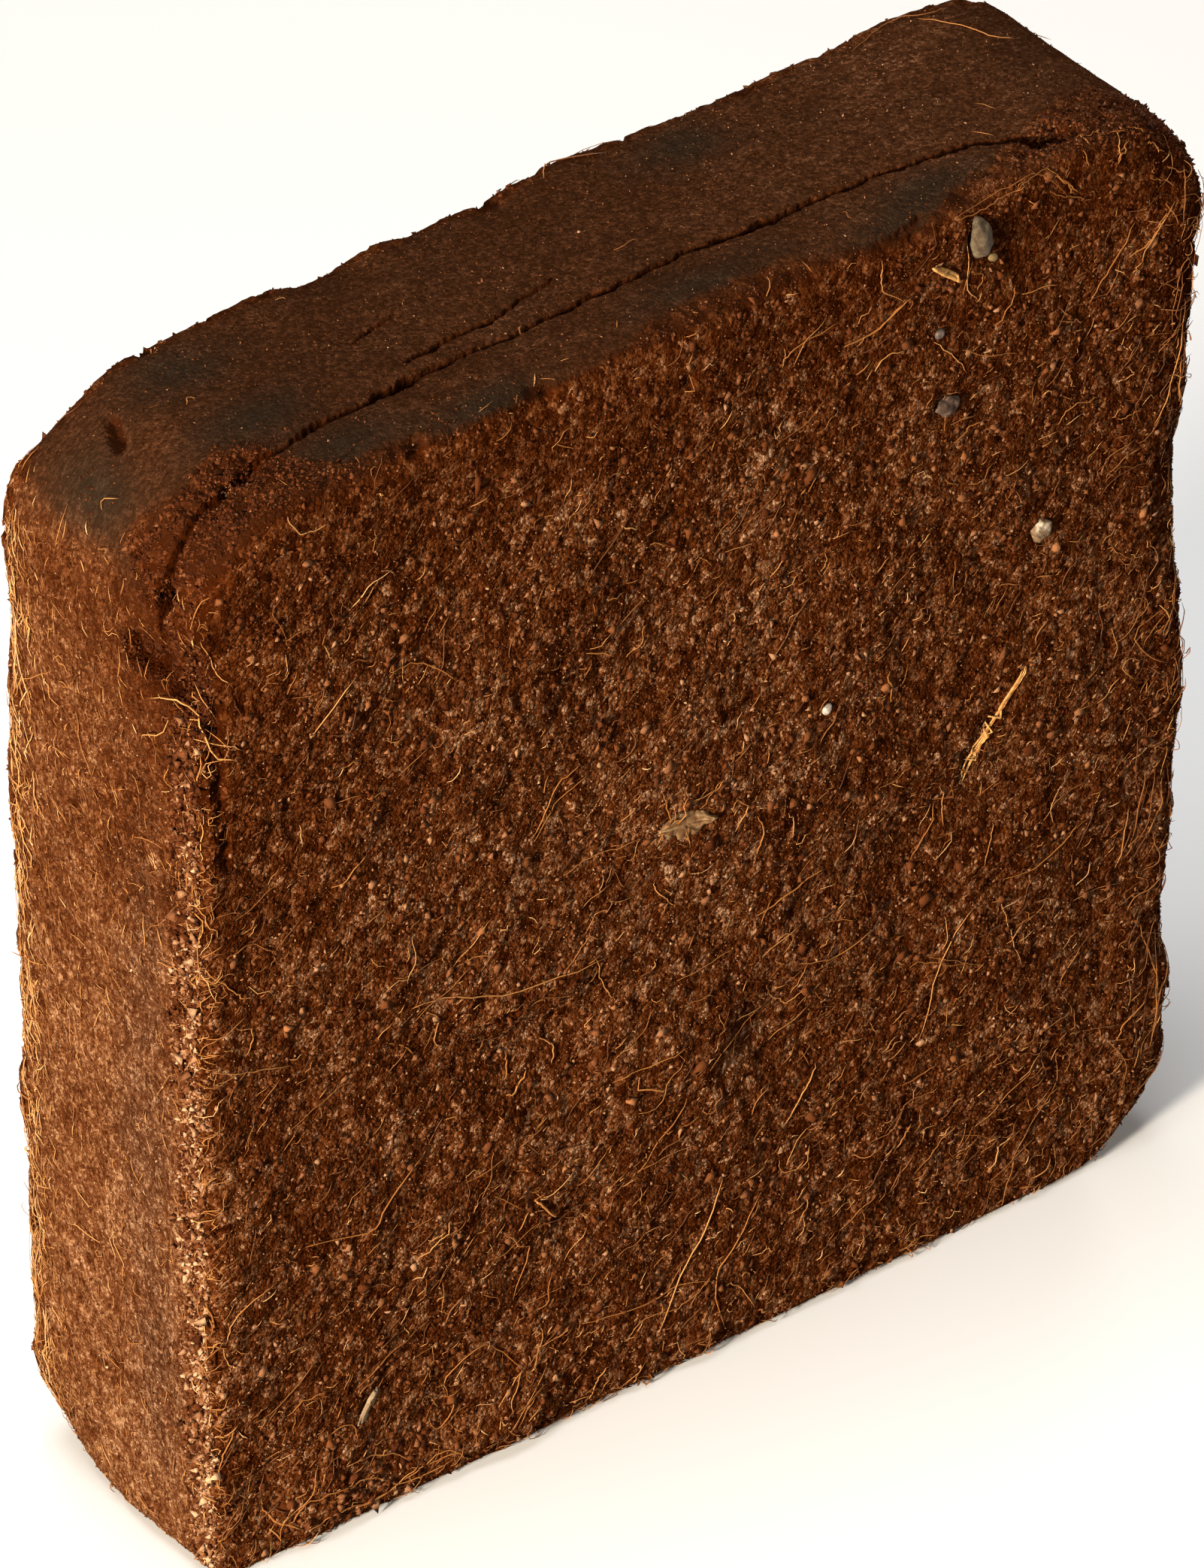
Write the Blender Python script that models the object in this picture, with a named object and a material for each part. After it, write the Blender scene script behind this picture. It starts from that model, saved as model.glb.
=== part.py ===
# Pressed coconut coir block, standing on one of its four narrow sides.
# X runs along its width, Y through its thickness (the front looks along -Y) and Z is up.
# The origin is in the middle of the side that it stands on. All lengths are in metres.

from math import copysign, cos, hypot, pi, radians, sin
from random import Random

import bmesh
import bpy
from mathutils import Matrix, Vector, noise
from mathutils.bvhtree import BVHTree

# Driving dimensions
WIDTH = 0.300
HEIGHT = 0.302
THICKNESS = 0.0755
TOP_LEFT_RADIUS = 0.036     # the mould's upright corners, as seen on the front
TOP_RIGHT_RADIUS = 0.0275
BOTTOM_RIGHT_RADIUS = 0.036
BOTTOM_LEFT_RADIUS = (0.008, 0.036)     # nearly square at the front, worn round at the back
TAPER = 0.012               # share by which the top is wider and the bottom narrower
TOP_RISE = 0.002            # how much higher the top is at the right end than at the left
EDGE_ROUND = 0.0065         # worn edge between a large face and the narrow sides
FOOT_ROUND = 0.0026         # the same along the base, which is sharper
GAP = 0.0003                # left round whatever is pressed into the block
POCKET_GAPS = 1.7           # a pocket's corners move out by more, so that flat facets clear it

# Surface
LONG_CELLS = 32             # grid cells along the width and the height
THIN_CELLS = 10             # grid cells through the thickness
EDGE_ROW = 0.4              # first row's share of the rounded edge
BROAD_LUMP = (0.060, 0.0012)    # size of a swelling of the large faces, and its height
SMALL_LUMP = (0.024, 0.0015)
CLOD = (0.0105, 0.0011)         # clods of pith
SIDE_SHARE = 0.35           # the mould's walls leave the narrow sides smoother
EDGE_CRUMB = (0.013, 0.0016)    # size of the bites along the worn edges, and their depth
BITE_EXCESS = 0.15          # the bites outweigh the crumbs that stand proud by this much
BITE_FLOOR = -0.25          # and a crumb stands proud by this share of a bite at most
FOOT_FADE = 0.006           # height over which the relief fades in above the flat base

# Soft dents, each from one point to another: start, end, radius, depth (negative swells out).
# A dent fades out at DENT_SPREAD times its radius.
DENT_SPREAD = 1.6
FRONT = -THICKNESS / 2
BACK = THICKNESS / 2
DENTS = (
    ((-0.077, FRONT, 0.126), (-0.036, FRONT, 0.118), 0.0060, 0.0028),   # long ledge
    ((-0.065, FRONT, 0.107), (-0.043, FRONT, 0.104), 0.0060, 0.0018),
    ((-0.073, FRONT, 0.134), (-0.034, FRONT, 0.127), 0.0060, -0.0014),  # lip over the ledge
    ((0.057, FRONT, 0.130), (0.086, FRONT, 0.126), 0.0080, 0.0020),
    ((0.012, FRONT, 0.085), (0.038, FRONT, 0.079), 0.0070, 0.0020),
    ((0.030, FRONT, 0.119), (0.048, FRONT, 0.115), 0.0070, 0.0018),
    ((-0.043, FRONT, 0.058), (-0.029, FRONT, 0.061), 0.0060, 0.0020),
    ((-0.017, FRONT, 0.214), (-0.007, FRONT, 0.211), 0.0080, 0.0014),
    ((-0.029, FRONT, 0.101), (0.005, FRONT, 0.095), 0.0080, -0.0014),
    ((-0.099, FRONT, 0.206), (-0.059, FRONT, 0.222), 0.0120, -0.0010),
    ((-0.119, FRONT, 0.015), (-0.110, FRONT, 0.017), 0.0060, -0.0018),  # clod at the foot
    ((-0.115, FRONT, 0.006), (-0.050, FRONT, 0.005), 0.0090, -0.0030),  # foot bulges forward
    ((-0.030, FRONT, 0.004), (0.070, FRONT, 0.004), 0.0070, -0.0010),
    ((-0.138, -0.036, 0.003), (-0.132, -0.035, 0.004), 0.0050, 0.0018),
    ((-0.151, -0.024, 0.262), (-0.149, -0.036, 0.261), 0.0090, 0.0045),  # crumbled hollow
    ((-0.149, -0.032, 0.240), (-0.149, -0.036, 0.200), 0.0060, 0.0016),
    ((-0.150, 0.034, 0.243), (-0.150, 0.034, 0.233), 0.0080, 0.0020),   # worn back edge
    ((-0.137, 0.034, 0.295), (-0.130, 0.034, 0.299), 0.0110, 0.0036),   # worn back corner
    ((-0.148, 0.022, 0.018), (-0.148, 0.008, 0.010), 0.0080, 0.0026),
    ((0.140, -0.036, 0.293), (0.142, -0.036, 0.289), 0.0060, 0.0030),   # worn right edge
    ((0.148, -0.036, 0.205), (0.148, -0.036, 0.176), 0.0080, 0.0030),
    ((0.147, -0.036, 0.072), (0.147, -0.036, 0.060), 0.0070, 0.0026),
    ((0.146, -0.036, 0.037), (0.145, -0.036, 0.033), 0.0060, 0.0020),
    ((0.149, -0.036, 0.151), (0.149, -0.028, 0.150), 0.0050, 0.0010),
    ((0.150, -0.034, 0.272), (0.149, -0.034, 0.262), 0.0070, -0.0012),
    ((0.120, -0.036, 0.008), (0.138, -0.036, 0.020), 0.0070, 0.0010),
    ((-0.060, 0.034, 0.302), (-0.054, 0.034, 0.302), 0.0060, 0.0028),   # nicks in the back edge
    ((-0.010, 0.034, 0.302), (-0.006, 0.034, 0.302), 0.0060, 0.0024),
    ((-0.094, 0.034, 0.302), (-0.080, 0.034, 0.302), 0.0070, -0.0008),
    ((0.014, 0.034, 0.302), (0.026, 0.034, 0.302), 0.0070, -0.0008),
    ((0.108, 0.034, 0.302), (0.118, 0.034, 0.302), 0.0070, -0.0016),
    ((-0.060, BACK, 0.090), (-0.020, BACK, 0.102), 0.0080, 0.0022),
    ((0.030, BACK, 0.210), (0.066, BACK, 0.200), 0.0080, 0.0020),
    ((-0.020, BACK, 0.180), (0.020, BACK, 0.190), 0.0110, -0.0014),
)

# Cracks between the pressed layers: distance round the block from the middle of its top
# (to the left is negative), place across the thickness, half width, depth
TOP_SEAM = (
    (-0.1740, -0.0250, 0.0012, 0.0040),
    (-0.1555, -0.0236, 0.0024, 0.0065),
    (-0.1412, -0.0225, 0.0012, 0.0045),
    (-0.1234, -0.0200, 0.0024, 0.0065),
    (-0.1069, -0.0185, 0.0008, 0.0040),
    (-0.0985, -0.0165, 0.0011, 0.0045),
    (-0.0817, -0.0160, 0.0012, 0.0050),
    (-0.0685, -0.0144, 0.0019, 0.0065),
    (-0.0541, -0.0144, 0.0010, 0.0045),
    (-0.0397, -0.0155, 0.0010, 0.0045),
    (-0.0133, -0.0144, 0.0009, 0.0040),
    (0.0137, -0.0129, 0.0007, 0.0040),
    (0.0281, -0.0144, 0.0012, 0.0045),
    (0.0539, -0.0149, 0.0008, 0.0035),
    (0.0803, -0.0175, 0.0007, 0.0030),
    (0.0935, -0.0195, 0.0009, 0.0035),
    (0.1061, -0.0281, 0.0022, 0.0060),
)
SHORT_SEAM = (
    (-0.0649, -0.0084, 0.0007, 0.0030),
    (-0.0541, -0.0073, 0.0011, 0.0040),
    (-0.0379, -0.0073, 0.0007, 0.0030),
    (-0.0175, -0.0028, 0.0005, 0.0020),
)
RIGHT_SEAM = (
    (0.176, -0.0140, 0.0006, 0.0025),
    (0.200, -0.0120, 0.0010, 0.0045),
    (0.228, -0.0131, 0.0008, 0.0040),
    (0.252, -0.0104, 0.0012, 0.0050),
    (0.290, -0.0118, 0.0006, 0.0030),
)
SEAM_STEP = 0.008           # spacing of the points along a crack
SEAM_WANDER = (0.0063, 0.0006)  # length of a crack's bends, and how far it strays in them
SEAM_MOUTH = (1.3, 0.003)   # a cutter's top edge: share of the half width, height over the skin
SEAM_FOOT = 0.2             # its bottom edge's share of the half width
SEAM_ENDS = (0.15, 0.4)     # share of its width and of its depth at the two ends

# Sharp pits: a point near the surface, then the length, width and depth, and the turn
PIT_UNEVEN = 0.35           # how knobbly a pit is, as a share of its size
PITS = (
    ((-0.006, FRONT, 0.286), 0.0060, 0.0045, 0.0030, 10),
    ((-0.116, FRONT, 0.111), 0.0050, 0.0030, 0.0028, 40),
    ((-0.103, FRONT, 0.152), 0.0034, 0.0028, 0.0022, 0),
    ((0.072, FRONT, 0.131), 0.0080, 0.0032, 0.0035, 80),
    ((-0.037, FRONT, 0.059), 0.0075, 0.0032, 0.0030, 5),
    ((0.019, FRONT, 0.083), 0.0070, 0.0030, 0.0030, -20),
    ((0.036, FRONT, 0.118), 0.0050, 0.0030, 0.0025, 15),
    ((-0.045, FRONT, 0.118), 0.0110, 0.0022, 0.0028, -10),
    ((-0.131, FRONT, 0.016), 0.0060, 0.0040, 0.0030, -30),
    ((0.111, FRONT, 0.216), 0.0045, 0.0025, 0.0022, 60),
    ((-0.150, -0.0145, 0.114), 0.0065, 0.0020, 0.0030, 70),
    ((-0.150, 0.0170, 0.134), 0.0060, 0.0016, 0.0022, 0),
    ((-0.150, -0.0300, 0.084), 0.0050, 0.0028, 0.0028, 60),
    ((-0.134, 0.0120, 0.296), 0.0085, 0.0030, 0.0034, 50),
    ((-0.126, -0.0205, 0.300), 0.0090, 0.0056, 0.0040, 35),
    ((-0.148, -0.0236, 0.280), 0.0060, 0.0046, 0.0040, 20),
    ((0.108, -0.0285, 0.303), 0.0086, 0.0050, 0.0042, -40),
    ((0.150, 0.0080, 0.214), 0.0060, 0.0030, 0.0028, 20),
    ((0.150, 0.0200, 0.096), 0.0050, 0.0026, 0.0026, 75),
    ((-0.070, BACK, 0.096), 0.0070, 0.0030, 0.0030, 10),
    ((0.046, BACK, 0.205), 0.0080, 0.0030, 0.0032, -15),
    ((0.094, BACK, 0.066), 0.0050, 0.0034, 0.0028, 35),
    ((-0.104, BACK, 0.232), 0.0055, 0.0028, 0.0026, 55),
)

# Stones pressed into the front: x, z, length, width, thickness, turn, share sunk, rings, tint
STONE_UNEVEN = 0.3
STONE_KNOBS = 0.33          # size of a stone's knobs, as a share of its own size
SEED_STEP = 2.3             # keeps the noise of like pieces apart
STONES = {
    "quartz_pebble": (0.0806, 0.2905, 0.0128, 0.0060, 0.0050, -79, 0.60, 2, (0.62, 0.50, 0.38)),
    "amber_grit": (0.0846, 0.2838, 0.0030, 0.0026, 0.0022, 0, 0.55, 1, (0.68, 0.45, 0.20)),
    "small_grey_pebble": (0.0695, 0.2679, 0.0038, 0.0030, 0.0026, 30, 0.60, 1, (0.33, 0.30, 0.29)),
    "slate_pebble": (0.0718, 0.2469, 0.0066, 0.0052, 0.0042, 15, 0.62, 2, (0.22, 0.20, 0.20)),
    "white_stone_chip": (0.0360, 0.1752, 0.0036, 0.0030, 0.0024, 45, 0.60, 1, (0.66, 0.60, 0.54)),
}
# Flat chips: x, z, length, width, thickness, turn, corners, tint
FLAKE_TOP = 0.42            # radius of a chip's upper face, where the lower one's is 0.5
FLAKE_UNEVEN = 0.05         # how far a chip's corners are out of round
FLAKE_RISE = 0.22           # how much one end has lifted, in thicknesses for each length
FLAKES = {
    "husk_flake": (-0.0067, 0.1613, 0.0156, 0.0066, 0.0016, -12, 9, (0.46, 0.30, 0.17)),
    "shell_chip": (0.1014, 0.1989, 0.0068, 0.0058, 0.0015, 10, 5, (0.56, 0.43, 0.30)),
}
# Stalks: x, z, length, thickness, turn, bow, tint
STALKS = {
    "straw_stub": (0.0700, 0.2850, 0.0119, 0.0015, -40, 0.0002, (0.60, 0.42, 0.24)),
    "fibre_bundle": (0.0869, 0.1490, 0.0320, 0.0024, 55, 0.0012, (0.50, 0.26, 0.10)),
    "bark_splinter": (-0.1023, 0.0331, 0.0098, 0.0028, 53, 0.0001, (0.42, 0.32, 0.22)),
}
STALK_SIDES = 6
STALK_CUTS = 4
STALK_TAPER = 0.35          # share by which a stalk is thinner at its ends
STALK_UNEVEN = 0.2
STALK_KNOBS = 0.25          # size of its unevenness, as a share of its length
COIR_TINT = (0.115, 0.045, 0.018)


def empty_scene():
    for thing in list(bpy.data.objects):
        bpy.data.objects.remove(thing, do_unlink=True)


def collection(name):
    """A collection of this name in the scene, without what an earlier run left."""
    old = bpy.data.collections.get(name)
    if old:
        bpy.data.collections.remove(old)
    new = bpy.data.collections.new(name)
    bpy.context.scene.collection.children.link(new)
    return new


def material(name, tint, roughness):
    mat = bpy.data.materials.new(name)
    mat.use_nodes = True
    shader = mat.node_tree.nodes["Principled BSDF"]
    shader.inputs["Base Color"].default_value = (*tint, 1.0)
    shader.inputs["Roughness"].default_value = roughness
    shader.inputs["Metallic"].default_value = 0.0
    return mat


def place(bm, name, group, mat=None):
    """Turn a bmesh into a named object of the group."""
    mesh = bpy.data.meshes.new(name)
    bm.to_mesh(mesh)
    bm.free()
    piece = bpy.data.objects.new(name, mesh)
    group.objects.link(piece)
    if mat:
        mesh.materials.append(mat)
        mesh.shade_smooth()
        mesh.set_sharp_from_angle(angle=radians(50))
    return piece


# The block's form

def rounded(a, b):
    """Push a point of a unit square so that the square's outer corner becomes an arc."""
    reach = hypot(a, b)
    if reach == 0.0:
        return a, b
    share = max(a, b) / reach
    return a * share, b * share


def corner_radius(x, y, z):
    if z > HEIGHT / 2:
        return TOP_LEFT_RADIUS if x < 0.0 else TOP_RIGHT_RADIUS
    if x > 0.0:
        return BOTTOM_RIGHT_RADIUS
    front, back = BOTTOM_LEFT_RADIUS
    return front + (back - front) * max(y / BACK, 0.0) ** 2


def moulded(point):
    """Move a point of the plain box to the pressed slab. Returns it with its outward normal."""
    x, y, z = point
    radius = corner_radius(x, y, z)
    right, up = copysign(1.0, x), copysign(1.0, z - HEIGHT / 2)
    over_x = max(abs(x) - (WIDTH / 2 - radius), 0.0)
    over_z = max(abs(z - HEIGHT / 2) - (HEIGHT / 2 - radius), 0.0)
    out_x, out_z = rounded(over_x / radius, over_z / radius)
    x += (out_x * radius - over_x) * right
    z += (out_z * radius - over_z) * up
    reach = hypot(out_x, out_z)
    face = Vector((0.0, copysign(1.0, y), 0.0))
    if reach == 0.0:
        return Vector((x, y, z)), face
    outward = Vector((out_x * right, 0.0, out_z * up)) / reach
    edge = EDGE_ROUND + (FOOT_ROUND - EDGE_ROUND) * max(-outward.z, 0.0)
    near_rim = 1.0 - (1.0 - reach) * radius / edge
    near_face = 1.0 - (THICKNESS / 2 - abs(y)) / edge
    if near_rim <= 0.0:
        return Vector((x, y, z)), face
    if near_face <= 0.0:
        return Vector((x, y, z)), outward
    rim, front = rounded(near_rim, near_face)
    shifted = Vector((x, y, z)) + outward * (rim - near_rim) * edge
    shifted.y = copysign(THICKNESS / 2 - edge * (1.0 - front), y)
    return shifted, (outward * rim + face * front).normalized()


def leaning(point):
    """Widen the block towards its top and let the top rise to the right."""
    x, y, z = point
    rise = 1.0 + TOP_RISE * x / WIDTH / HEIGHT
    return Vector((x * (1.0 + TAPER * (2.0 * z / HEIGHT - 1.0)), y, z * rise))


def swelling(point, lump, seed):
    size, height = lump
    return noise.noise(point / size + Vector((seed, 0.0, 0.0))) * height


def dented(point):
    """Depth of the soft dents at a point."""
    depth = 0.0
    for start, end, radius, deep in DENTS:
        start, along = Vector(start), Vector(end) - Vector(start)
        share = min(max((point - start).dot(along) / along.length_squared, 0.0), 1.0)
        away = (point - start - along * share).length / (radius * DENT_SPREAD)
        depth += deep * max(1.0 - away ** 2, 0.0) ** 2
    return depth


def weathered(point, normal):
    """Give a point of the smooth slab its lumps, dents and worn edges."""
    if point.z < 1e-6:
        return point
    rough = SIDE_SHARE + (1.0 - SIDE_SHARE) * abs(normal.y)
    lumps = swelling(point, BROAD_LUMP, 3.0) + swelling(point, SMALL_LUMP, 11.0)
    out = (lumps + swelling(point, CLOD, 19.0)) * rough
    on_edge = 4.0 * normal.y ** 2 * (1.0 - normal.y ** 2)
    size, depth = EDGE_CRUMB
    bite = noise.noise(point / size + Vector((0.0, 7.0, 0.0))) + BITE_EXCESS
    out -= on_edge * max(bite, BITE_FLOOR) * depth
    out -= dented(point)
    out *= min(point.z / FOOT_FADE, 1.0)
    moved = point + normal * out
    moved.z = max(moved.z, 0.0)
    return moved


def ticks(half, cells):
    """Grid lines across a side: two narrow rows at each rounded edge, even ones between."""
    inner = half - EDGE_ROUND
    even = [inner * (2 * i / (cells - 4) - 1) for i in range(cells - 3)]
    row = half - EDGE_ROW * EDGE_ROUND
    return [-half, -row, *even, row, half]


def gridded_box():
    """A box whose sides are cut into a grid, finer beside the edges."""
    bm = bmesh.new()
    bmesh.ops.create_cube(bm, size=2.0)
    cells = (LONG_CELLS, THIN_CELLS, LONG_CELLS)
    for axis in range(3):
        along = [e for e in bm.edges if abs((e.verts[0].co - e.verts[1].co)[axis]) > 1e-6]
        bmesh.ops.subdivide_edges(bm, edges=along, cuts=cells[axis] - 1, use_grid_fill=True)
    lines = [ticks(half, count) for half, count in
             zip((WIDTH / 2, THICKNESS / 2, HEIGHT / 2), cells)]
    for vert in bm.verts:
        for axis in range(3):
            index = round((vert.co[axis] + 1.0) / 2.0 * cells[axis])
            vert.co[axis] = lines[axis][index]
        vert.co.z += HEIGHT / 2
    return bm


def pressed_slab():
    """The block before it is cracked and pitted, centred over its base."""
    bm = gridded_box()
    for vert in bm.verts:
        point, normal = moulded(vert.co)
        vert.co = weathered(leaning(point), normal)
    for axis in (0, 1):
        places = [vert.co[axis] for vert in bm.verts]
        middle = (min(places) + max(places)) / 2
        for vert in bm.verts:
            vert.co[axis] -= middle
    bmesh.ops.triangulate(bm, faces=bm.faces[:], quad_method="SHORT_EDGE")
    return bm


# Cracks and pits

def round_the_block(distance):
    """Point and outward direction on the narrow sides, from the middle of the top."""
    side, run = copysign(1.0, distance), abs(distance)
    radius = TOP_LEFT_RADIUS if distance < 0.0 else TOP_RIGHT_RADIUS
    flat = WIDTH / 2 - radius
    turn = min(max(run - flat, 0.0) / radius, pi / 2)
    outward = Vector((side * sin(turn), 0.0, cos(turn)))
    centre = Vector((side * min(run, flat), 0.0, HEIGHT - radius))
    below = Vector((0.0, 0.0, max(run - flat - radius * pi / 2, 0.0)))
    return leaning(centre + outward * radius - below), outward


def along_seam(seam, distance):
    """Place across, half width and depth of a crack, read between its listed points."""
    for before, after in zip(seam, seam[1:]):
        if distance <= after[0]:
            break
    share = min(max((distance - before[0]) / (after[0] - before[0]), 0.0), 1.0)
    return [a + (b - a) * share for a, b in zip(before[1:], after[1:])]


def crack_cutter(name, seam, cutters):
    """A long wedge that follows a crack, thin at its foot and at its two ends."""
    start, end = seam[0][0], seam[-1][0]
    steps = round((end - start) / SEAM_STEP)
    bend, stray = SEAM_WANDER
    mouth, height = SEAM_MOUTH
    end_width, end_depth = SEAM_ENDS
    bm = bmesh.new()
    bmesh.ops.create_cube(bm, size=2.0)
    along = [e for e in bm.edges if abs((e.verts[0].co - e.verts[1].co).x) > 1e-6]
    bmesh.ops.subdivide_edges(bm, edges=along, cuts=steps - 1, use_grid_fill=True)
    for vert in bm.verts:
        share = (vert.co.x + 1.0) / 2.0
        distance = start + (end - start) * share
        across, half_width, depth = along_seam(seam, distance)
        surface, outward = round_the_block(distance)
        wander = noise.noise(Vector((distance, across, 0.0)) / bend) * stray
        taper = min(share, 1.0 - share) * steps
        half_width *= min(end_width + taper, 1.0)
        foot = vert.co.z < 0.0
        reach = -depth * min(end_depth + taper, 1.0) if foot else height
        width = half_width * (SEAM_FOOT if foot else mouth)
        place_y = across + wander + copysign(width, vert.co.y)
        vert.co = surface + outward * reach + Vector((0.0, place_y, 0.0))
    bmesh.ops.triangulate(bm, faces=bm.faces[:])
    return wire(place(facing_out(bm), name, cutters))


def facing_out(bm):
    if bm.calc_volume(signed=True) < 0.0:
        bmesh.ops.reverse_faces(bm, faces=bm.faces[:])
    return bm


def wire(cutter):
    cutter.hide_render = True
    cutter.display_type = "WIRE"
    return cutter


def seat(surface, near, turn):
    """Where a piece lies on the block: its own X is turned in the surface, its Z looks out."""
    spot, normal, _, _ = surface.find_nearest(Vector(near))
    flat_x = Vector((0.0, 1.0, 0.0)) if abs(normal.x) > 0.7 else Vector((1.0, 0.0, 0.0))
    across = normal.cross(flat_x).normalized()
    level = across.cross(normal)
    frame = Matrix((level, across, normal)).transposed().to_4x4()
    return Matrix.Translation(spot) @ frame @ Matrix.Rotation(radians(turn), 4, "Z")


def pebble(size, rings, seed, uneven):
    """A knobbly ball scaled to length, width and thickness."""
    bm = bmesh.new()
    bmesh.ops.create_icosphere(bm, subdivisions=rings, radius=0.5)
    for vert in bm.verts:
        knob = noise.noise(vert.co / STONE_KNOBS + Vector((seed, 0.0, 0.0)))
        vert.co *= 1.0 + uneven * knob
        vert.co = Vector(a * b for a, b in zip(vert.co, size))
    return bm


def pit_cutter(index, pit, surface, cutters):
    near, length, width, depth, turn = pit
    bm = pebble((length, width, depth * 2), 1, index * SEED_STEP, PIT_UNEVEN)
    bm.transform(seat(surface, near, turn))
    return wire(place(bm, f"pit_{index}", cutters))


# What is pressed into the front

def flake(length, width, thickness, corners, seed):
    """A flat chip with an uneven outline."""
    chance = Random(seed)
    bm = bmesh.new()
    bmesh.ops.create_cone(bm, cap_ends=True, cap_tris=True, segments=corners,
                          radius1=0.5, radius2=FLAKE_TOP, depth=1.0)
    for vert in bm.verts:
        if hypot(vert.co.x, vert.co.y) > FLAKE_TOP / 2:
            turn = 2.0 * pi * chance.random()
            vert.co.xy += Vector((cos(turn), sin(turn))) * FLAKE_UNEVEN
        vert.co.z += FLAKE_RISE * vert.co.x
        vert.co = Vector((vert.co.x * length, vert.co.y * width, vert.co.z * thickness))
    bmesh.ops.triangulate(bm, faces=bm.faces[:])
    return bm


def stalk(length, thickness, bow, seed):
    """A slightly bowed stalk, thicker in the middle."""
    bm = bmesh.new()
    bmesh.ops.create_cone(bm, cap_ends=True, segments=STALK_SIDES, radius1=0.5, radius2=0.5,
                          depth=1.0, matrix=Matrix.Rotation(pi / 2, 4, "Y"))
    along = [e for e in bm.edges if abs((e.verts[0].co - e.verts[1].co).x) > 1e-6]
    bmesh.ops.subdivide_edges(bm, edges=along, cuts=STALK_CUTS, use_grid_fill=True)
    for vert in bm.verts:
        share = vert.co.x * 2.0
        knob = noise.noise(vert.co / STALK_KNOBS + Vector((seed, 0.0, 0.0)))
        girth = (1.0 - STALK_TAPER * share ** 2) * (1.0 + STALK_UNEVEN * knob)
        vert.co.y = vert.co.y * girth * thickness + bow * (1.0 - share ** 2)
        vert.co.z *= girth * thickness
        vert.co.x *= length
    bmesh.ops.triangulate(bm, faces=bm.faces[:])
    return bm


def pocket(bm, name, cutters):
    """A cutter of a piece's own form, larger than it by the gap and a little more."""
    grown = facing_out(bm.copy())
    grown.normal_update()
    steps = [(vert, vert.normal * POCKET_GAPS * GAP) for vert in grown.verts]
    for vert, step in steps:
        vert.co += step
    return wire(place(grown, f"{name}_pocket", cutters))


def press_in(bm, name, where, sunk, mat, group, cutters):
    bm.transform(where @ Matrix.Translation((0.0, 0.0, -sunk)))
    cutter = pocket(bm, name, cutters)
    place(bm, name, group, mat)
    return cutter


def pressed_in_pieces(surface, group, cutters):
    """All stones, flakes and stalks. Returns the pockets they need."""
    pockets = []
    for seed, (name, row) in enumerate(STONES.items()):
        x, z, length, width, thickness, turn, share, rings, tint = row
        bm = pebble((length, width, thickness), rings, seed * SEED_STEP, STONE_UNEVEN)
        sunk = (share - 0.5) * thickness
        where = seat(surface, (x, FRONT, z), turn)
        pockets.append(press_in(bm, name, where, sunk, material(name, tint, 0.45), group, cutters))
    for seed, (name, row) in enumerate(FLAKES.items()):
        x, z, length, width, thickness, turn, corners, tint = row
        bm = flake(length, width, thickness, corners, seed)
        where = seat(surface, (x, FRONT, z), turn)
        pockets.append(press_in(bm, name, where, 0.0, material(name, tint, 0.85), group, cutters))
    for seed, (name, row) in enumerate(STALKS.items()):
        x, z, length, thickness, turn, bow, tint = row
        bm = stalk(length, thickness, bow, seed * SEED_STEP)
        where = seat(surface, (x, FRONT, z), turn)
        pockets.append(press_in(bm, name, where, 0.0, material(name, tint, 0.8), group, cutters))
    return pockets


def cut(block, cutter):
    carve = block.modifiers.new(cutter.name, "BOOLEAN")
    carve.operation = "DIFFERENCE"
    carve.solver = "EXACT"
    carve.object = cutter


empty_scene()
parts = collection("coir_block_parts")
cutters = collection("cutters")

slab = pressed_slab()
surface = BVHTree.FromBMesh(slab)
coir_block = place(slab, "coir_block", parts, material("pressed_coir", COIR_TINT, 0.95))

for seam_name, seam in (("top", TOP_SEAM), ("short", SHORT_SEAM), ("right", RIGHT_SEAM)):
    cut(coir_block, crack_cutter(f"{seam_name}_seam", seam, cutters))
for number, pit in enumerate(PITS):
    cut(coir_block, pit_cutter(number, pit, surface, cutters))
for pocket_cutter in pressed_in_pieces(surface, parts, cutters):
    cut(coir_block, pocket_cutter)
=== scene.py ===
import bpy
import numpy as np
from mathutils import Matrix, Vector, noise
from mathutils.bvhtree import BVHTree


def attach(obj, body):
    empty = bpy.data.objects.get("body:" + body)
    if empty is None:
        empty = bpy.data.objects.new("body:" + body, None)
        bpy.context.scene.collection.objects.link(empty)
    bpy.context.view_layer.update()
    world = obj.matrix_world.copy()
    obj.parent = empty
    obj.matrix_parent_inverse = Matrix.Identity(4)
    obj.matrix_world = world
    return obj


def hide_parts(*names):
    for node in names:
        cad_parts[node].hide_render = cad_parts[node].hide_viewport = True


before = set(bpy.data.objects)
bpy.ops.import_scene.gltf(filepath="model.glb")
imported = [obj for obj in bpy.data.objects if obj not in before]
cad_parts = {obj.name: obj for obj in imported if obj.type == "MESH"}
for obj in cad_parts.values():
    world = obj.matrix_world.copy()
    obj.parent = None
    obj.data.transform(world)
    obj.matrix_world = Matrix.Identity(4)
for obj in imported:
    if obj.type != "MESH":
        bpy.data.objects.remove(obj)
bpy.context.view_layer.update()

# The pressed block. Wet pith and short fibre are squeezed in a steel mould and left to dry. The
# large faces tore from the pressing plates and are crumbly all over. The narrow sides slid out
# along its walls: they are smoother, dark on top, grainy down the sides, and cracked in layers.
WIDTH, HEIGHT = 0.3, 0.302
FRONT, BACK = -0.0368, 0.0387
MIDDLE_X = -0.0004
LEFT_RADIUS, RIGHT_RADIUS = 0.036, 0.0275
LEAN = 0.012                # share by which the top is wider and the bottom narrower
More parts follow.
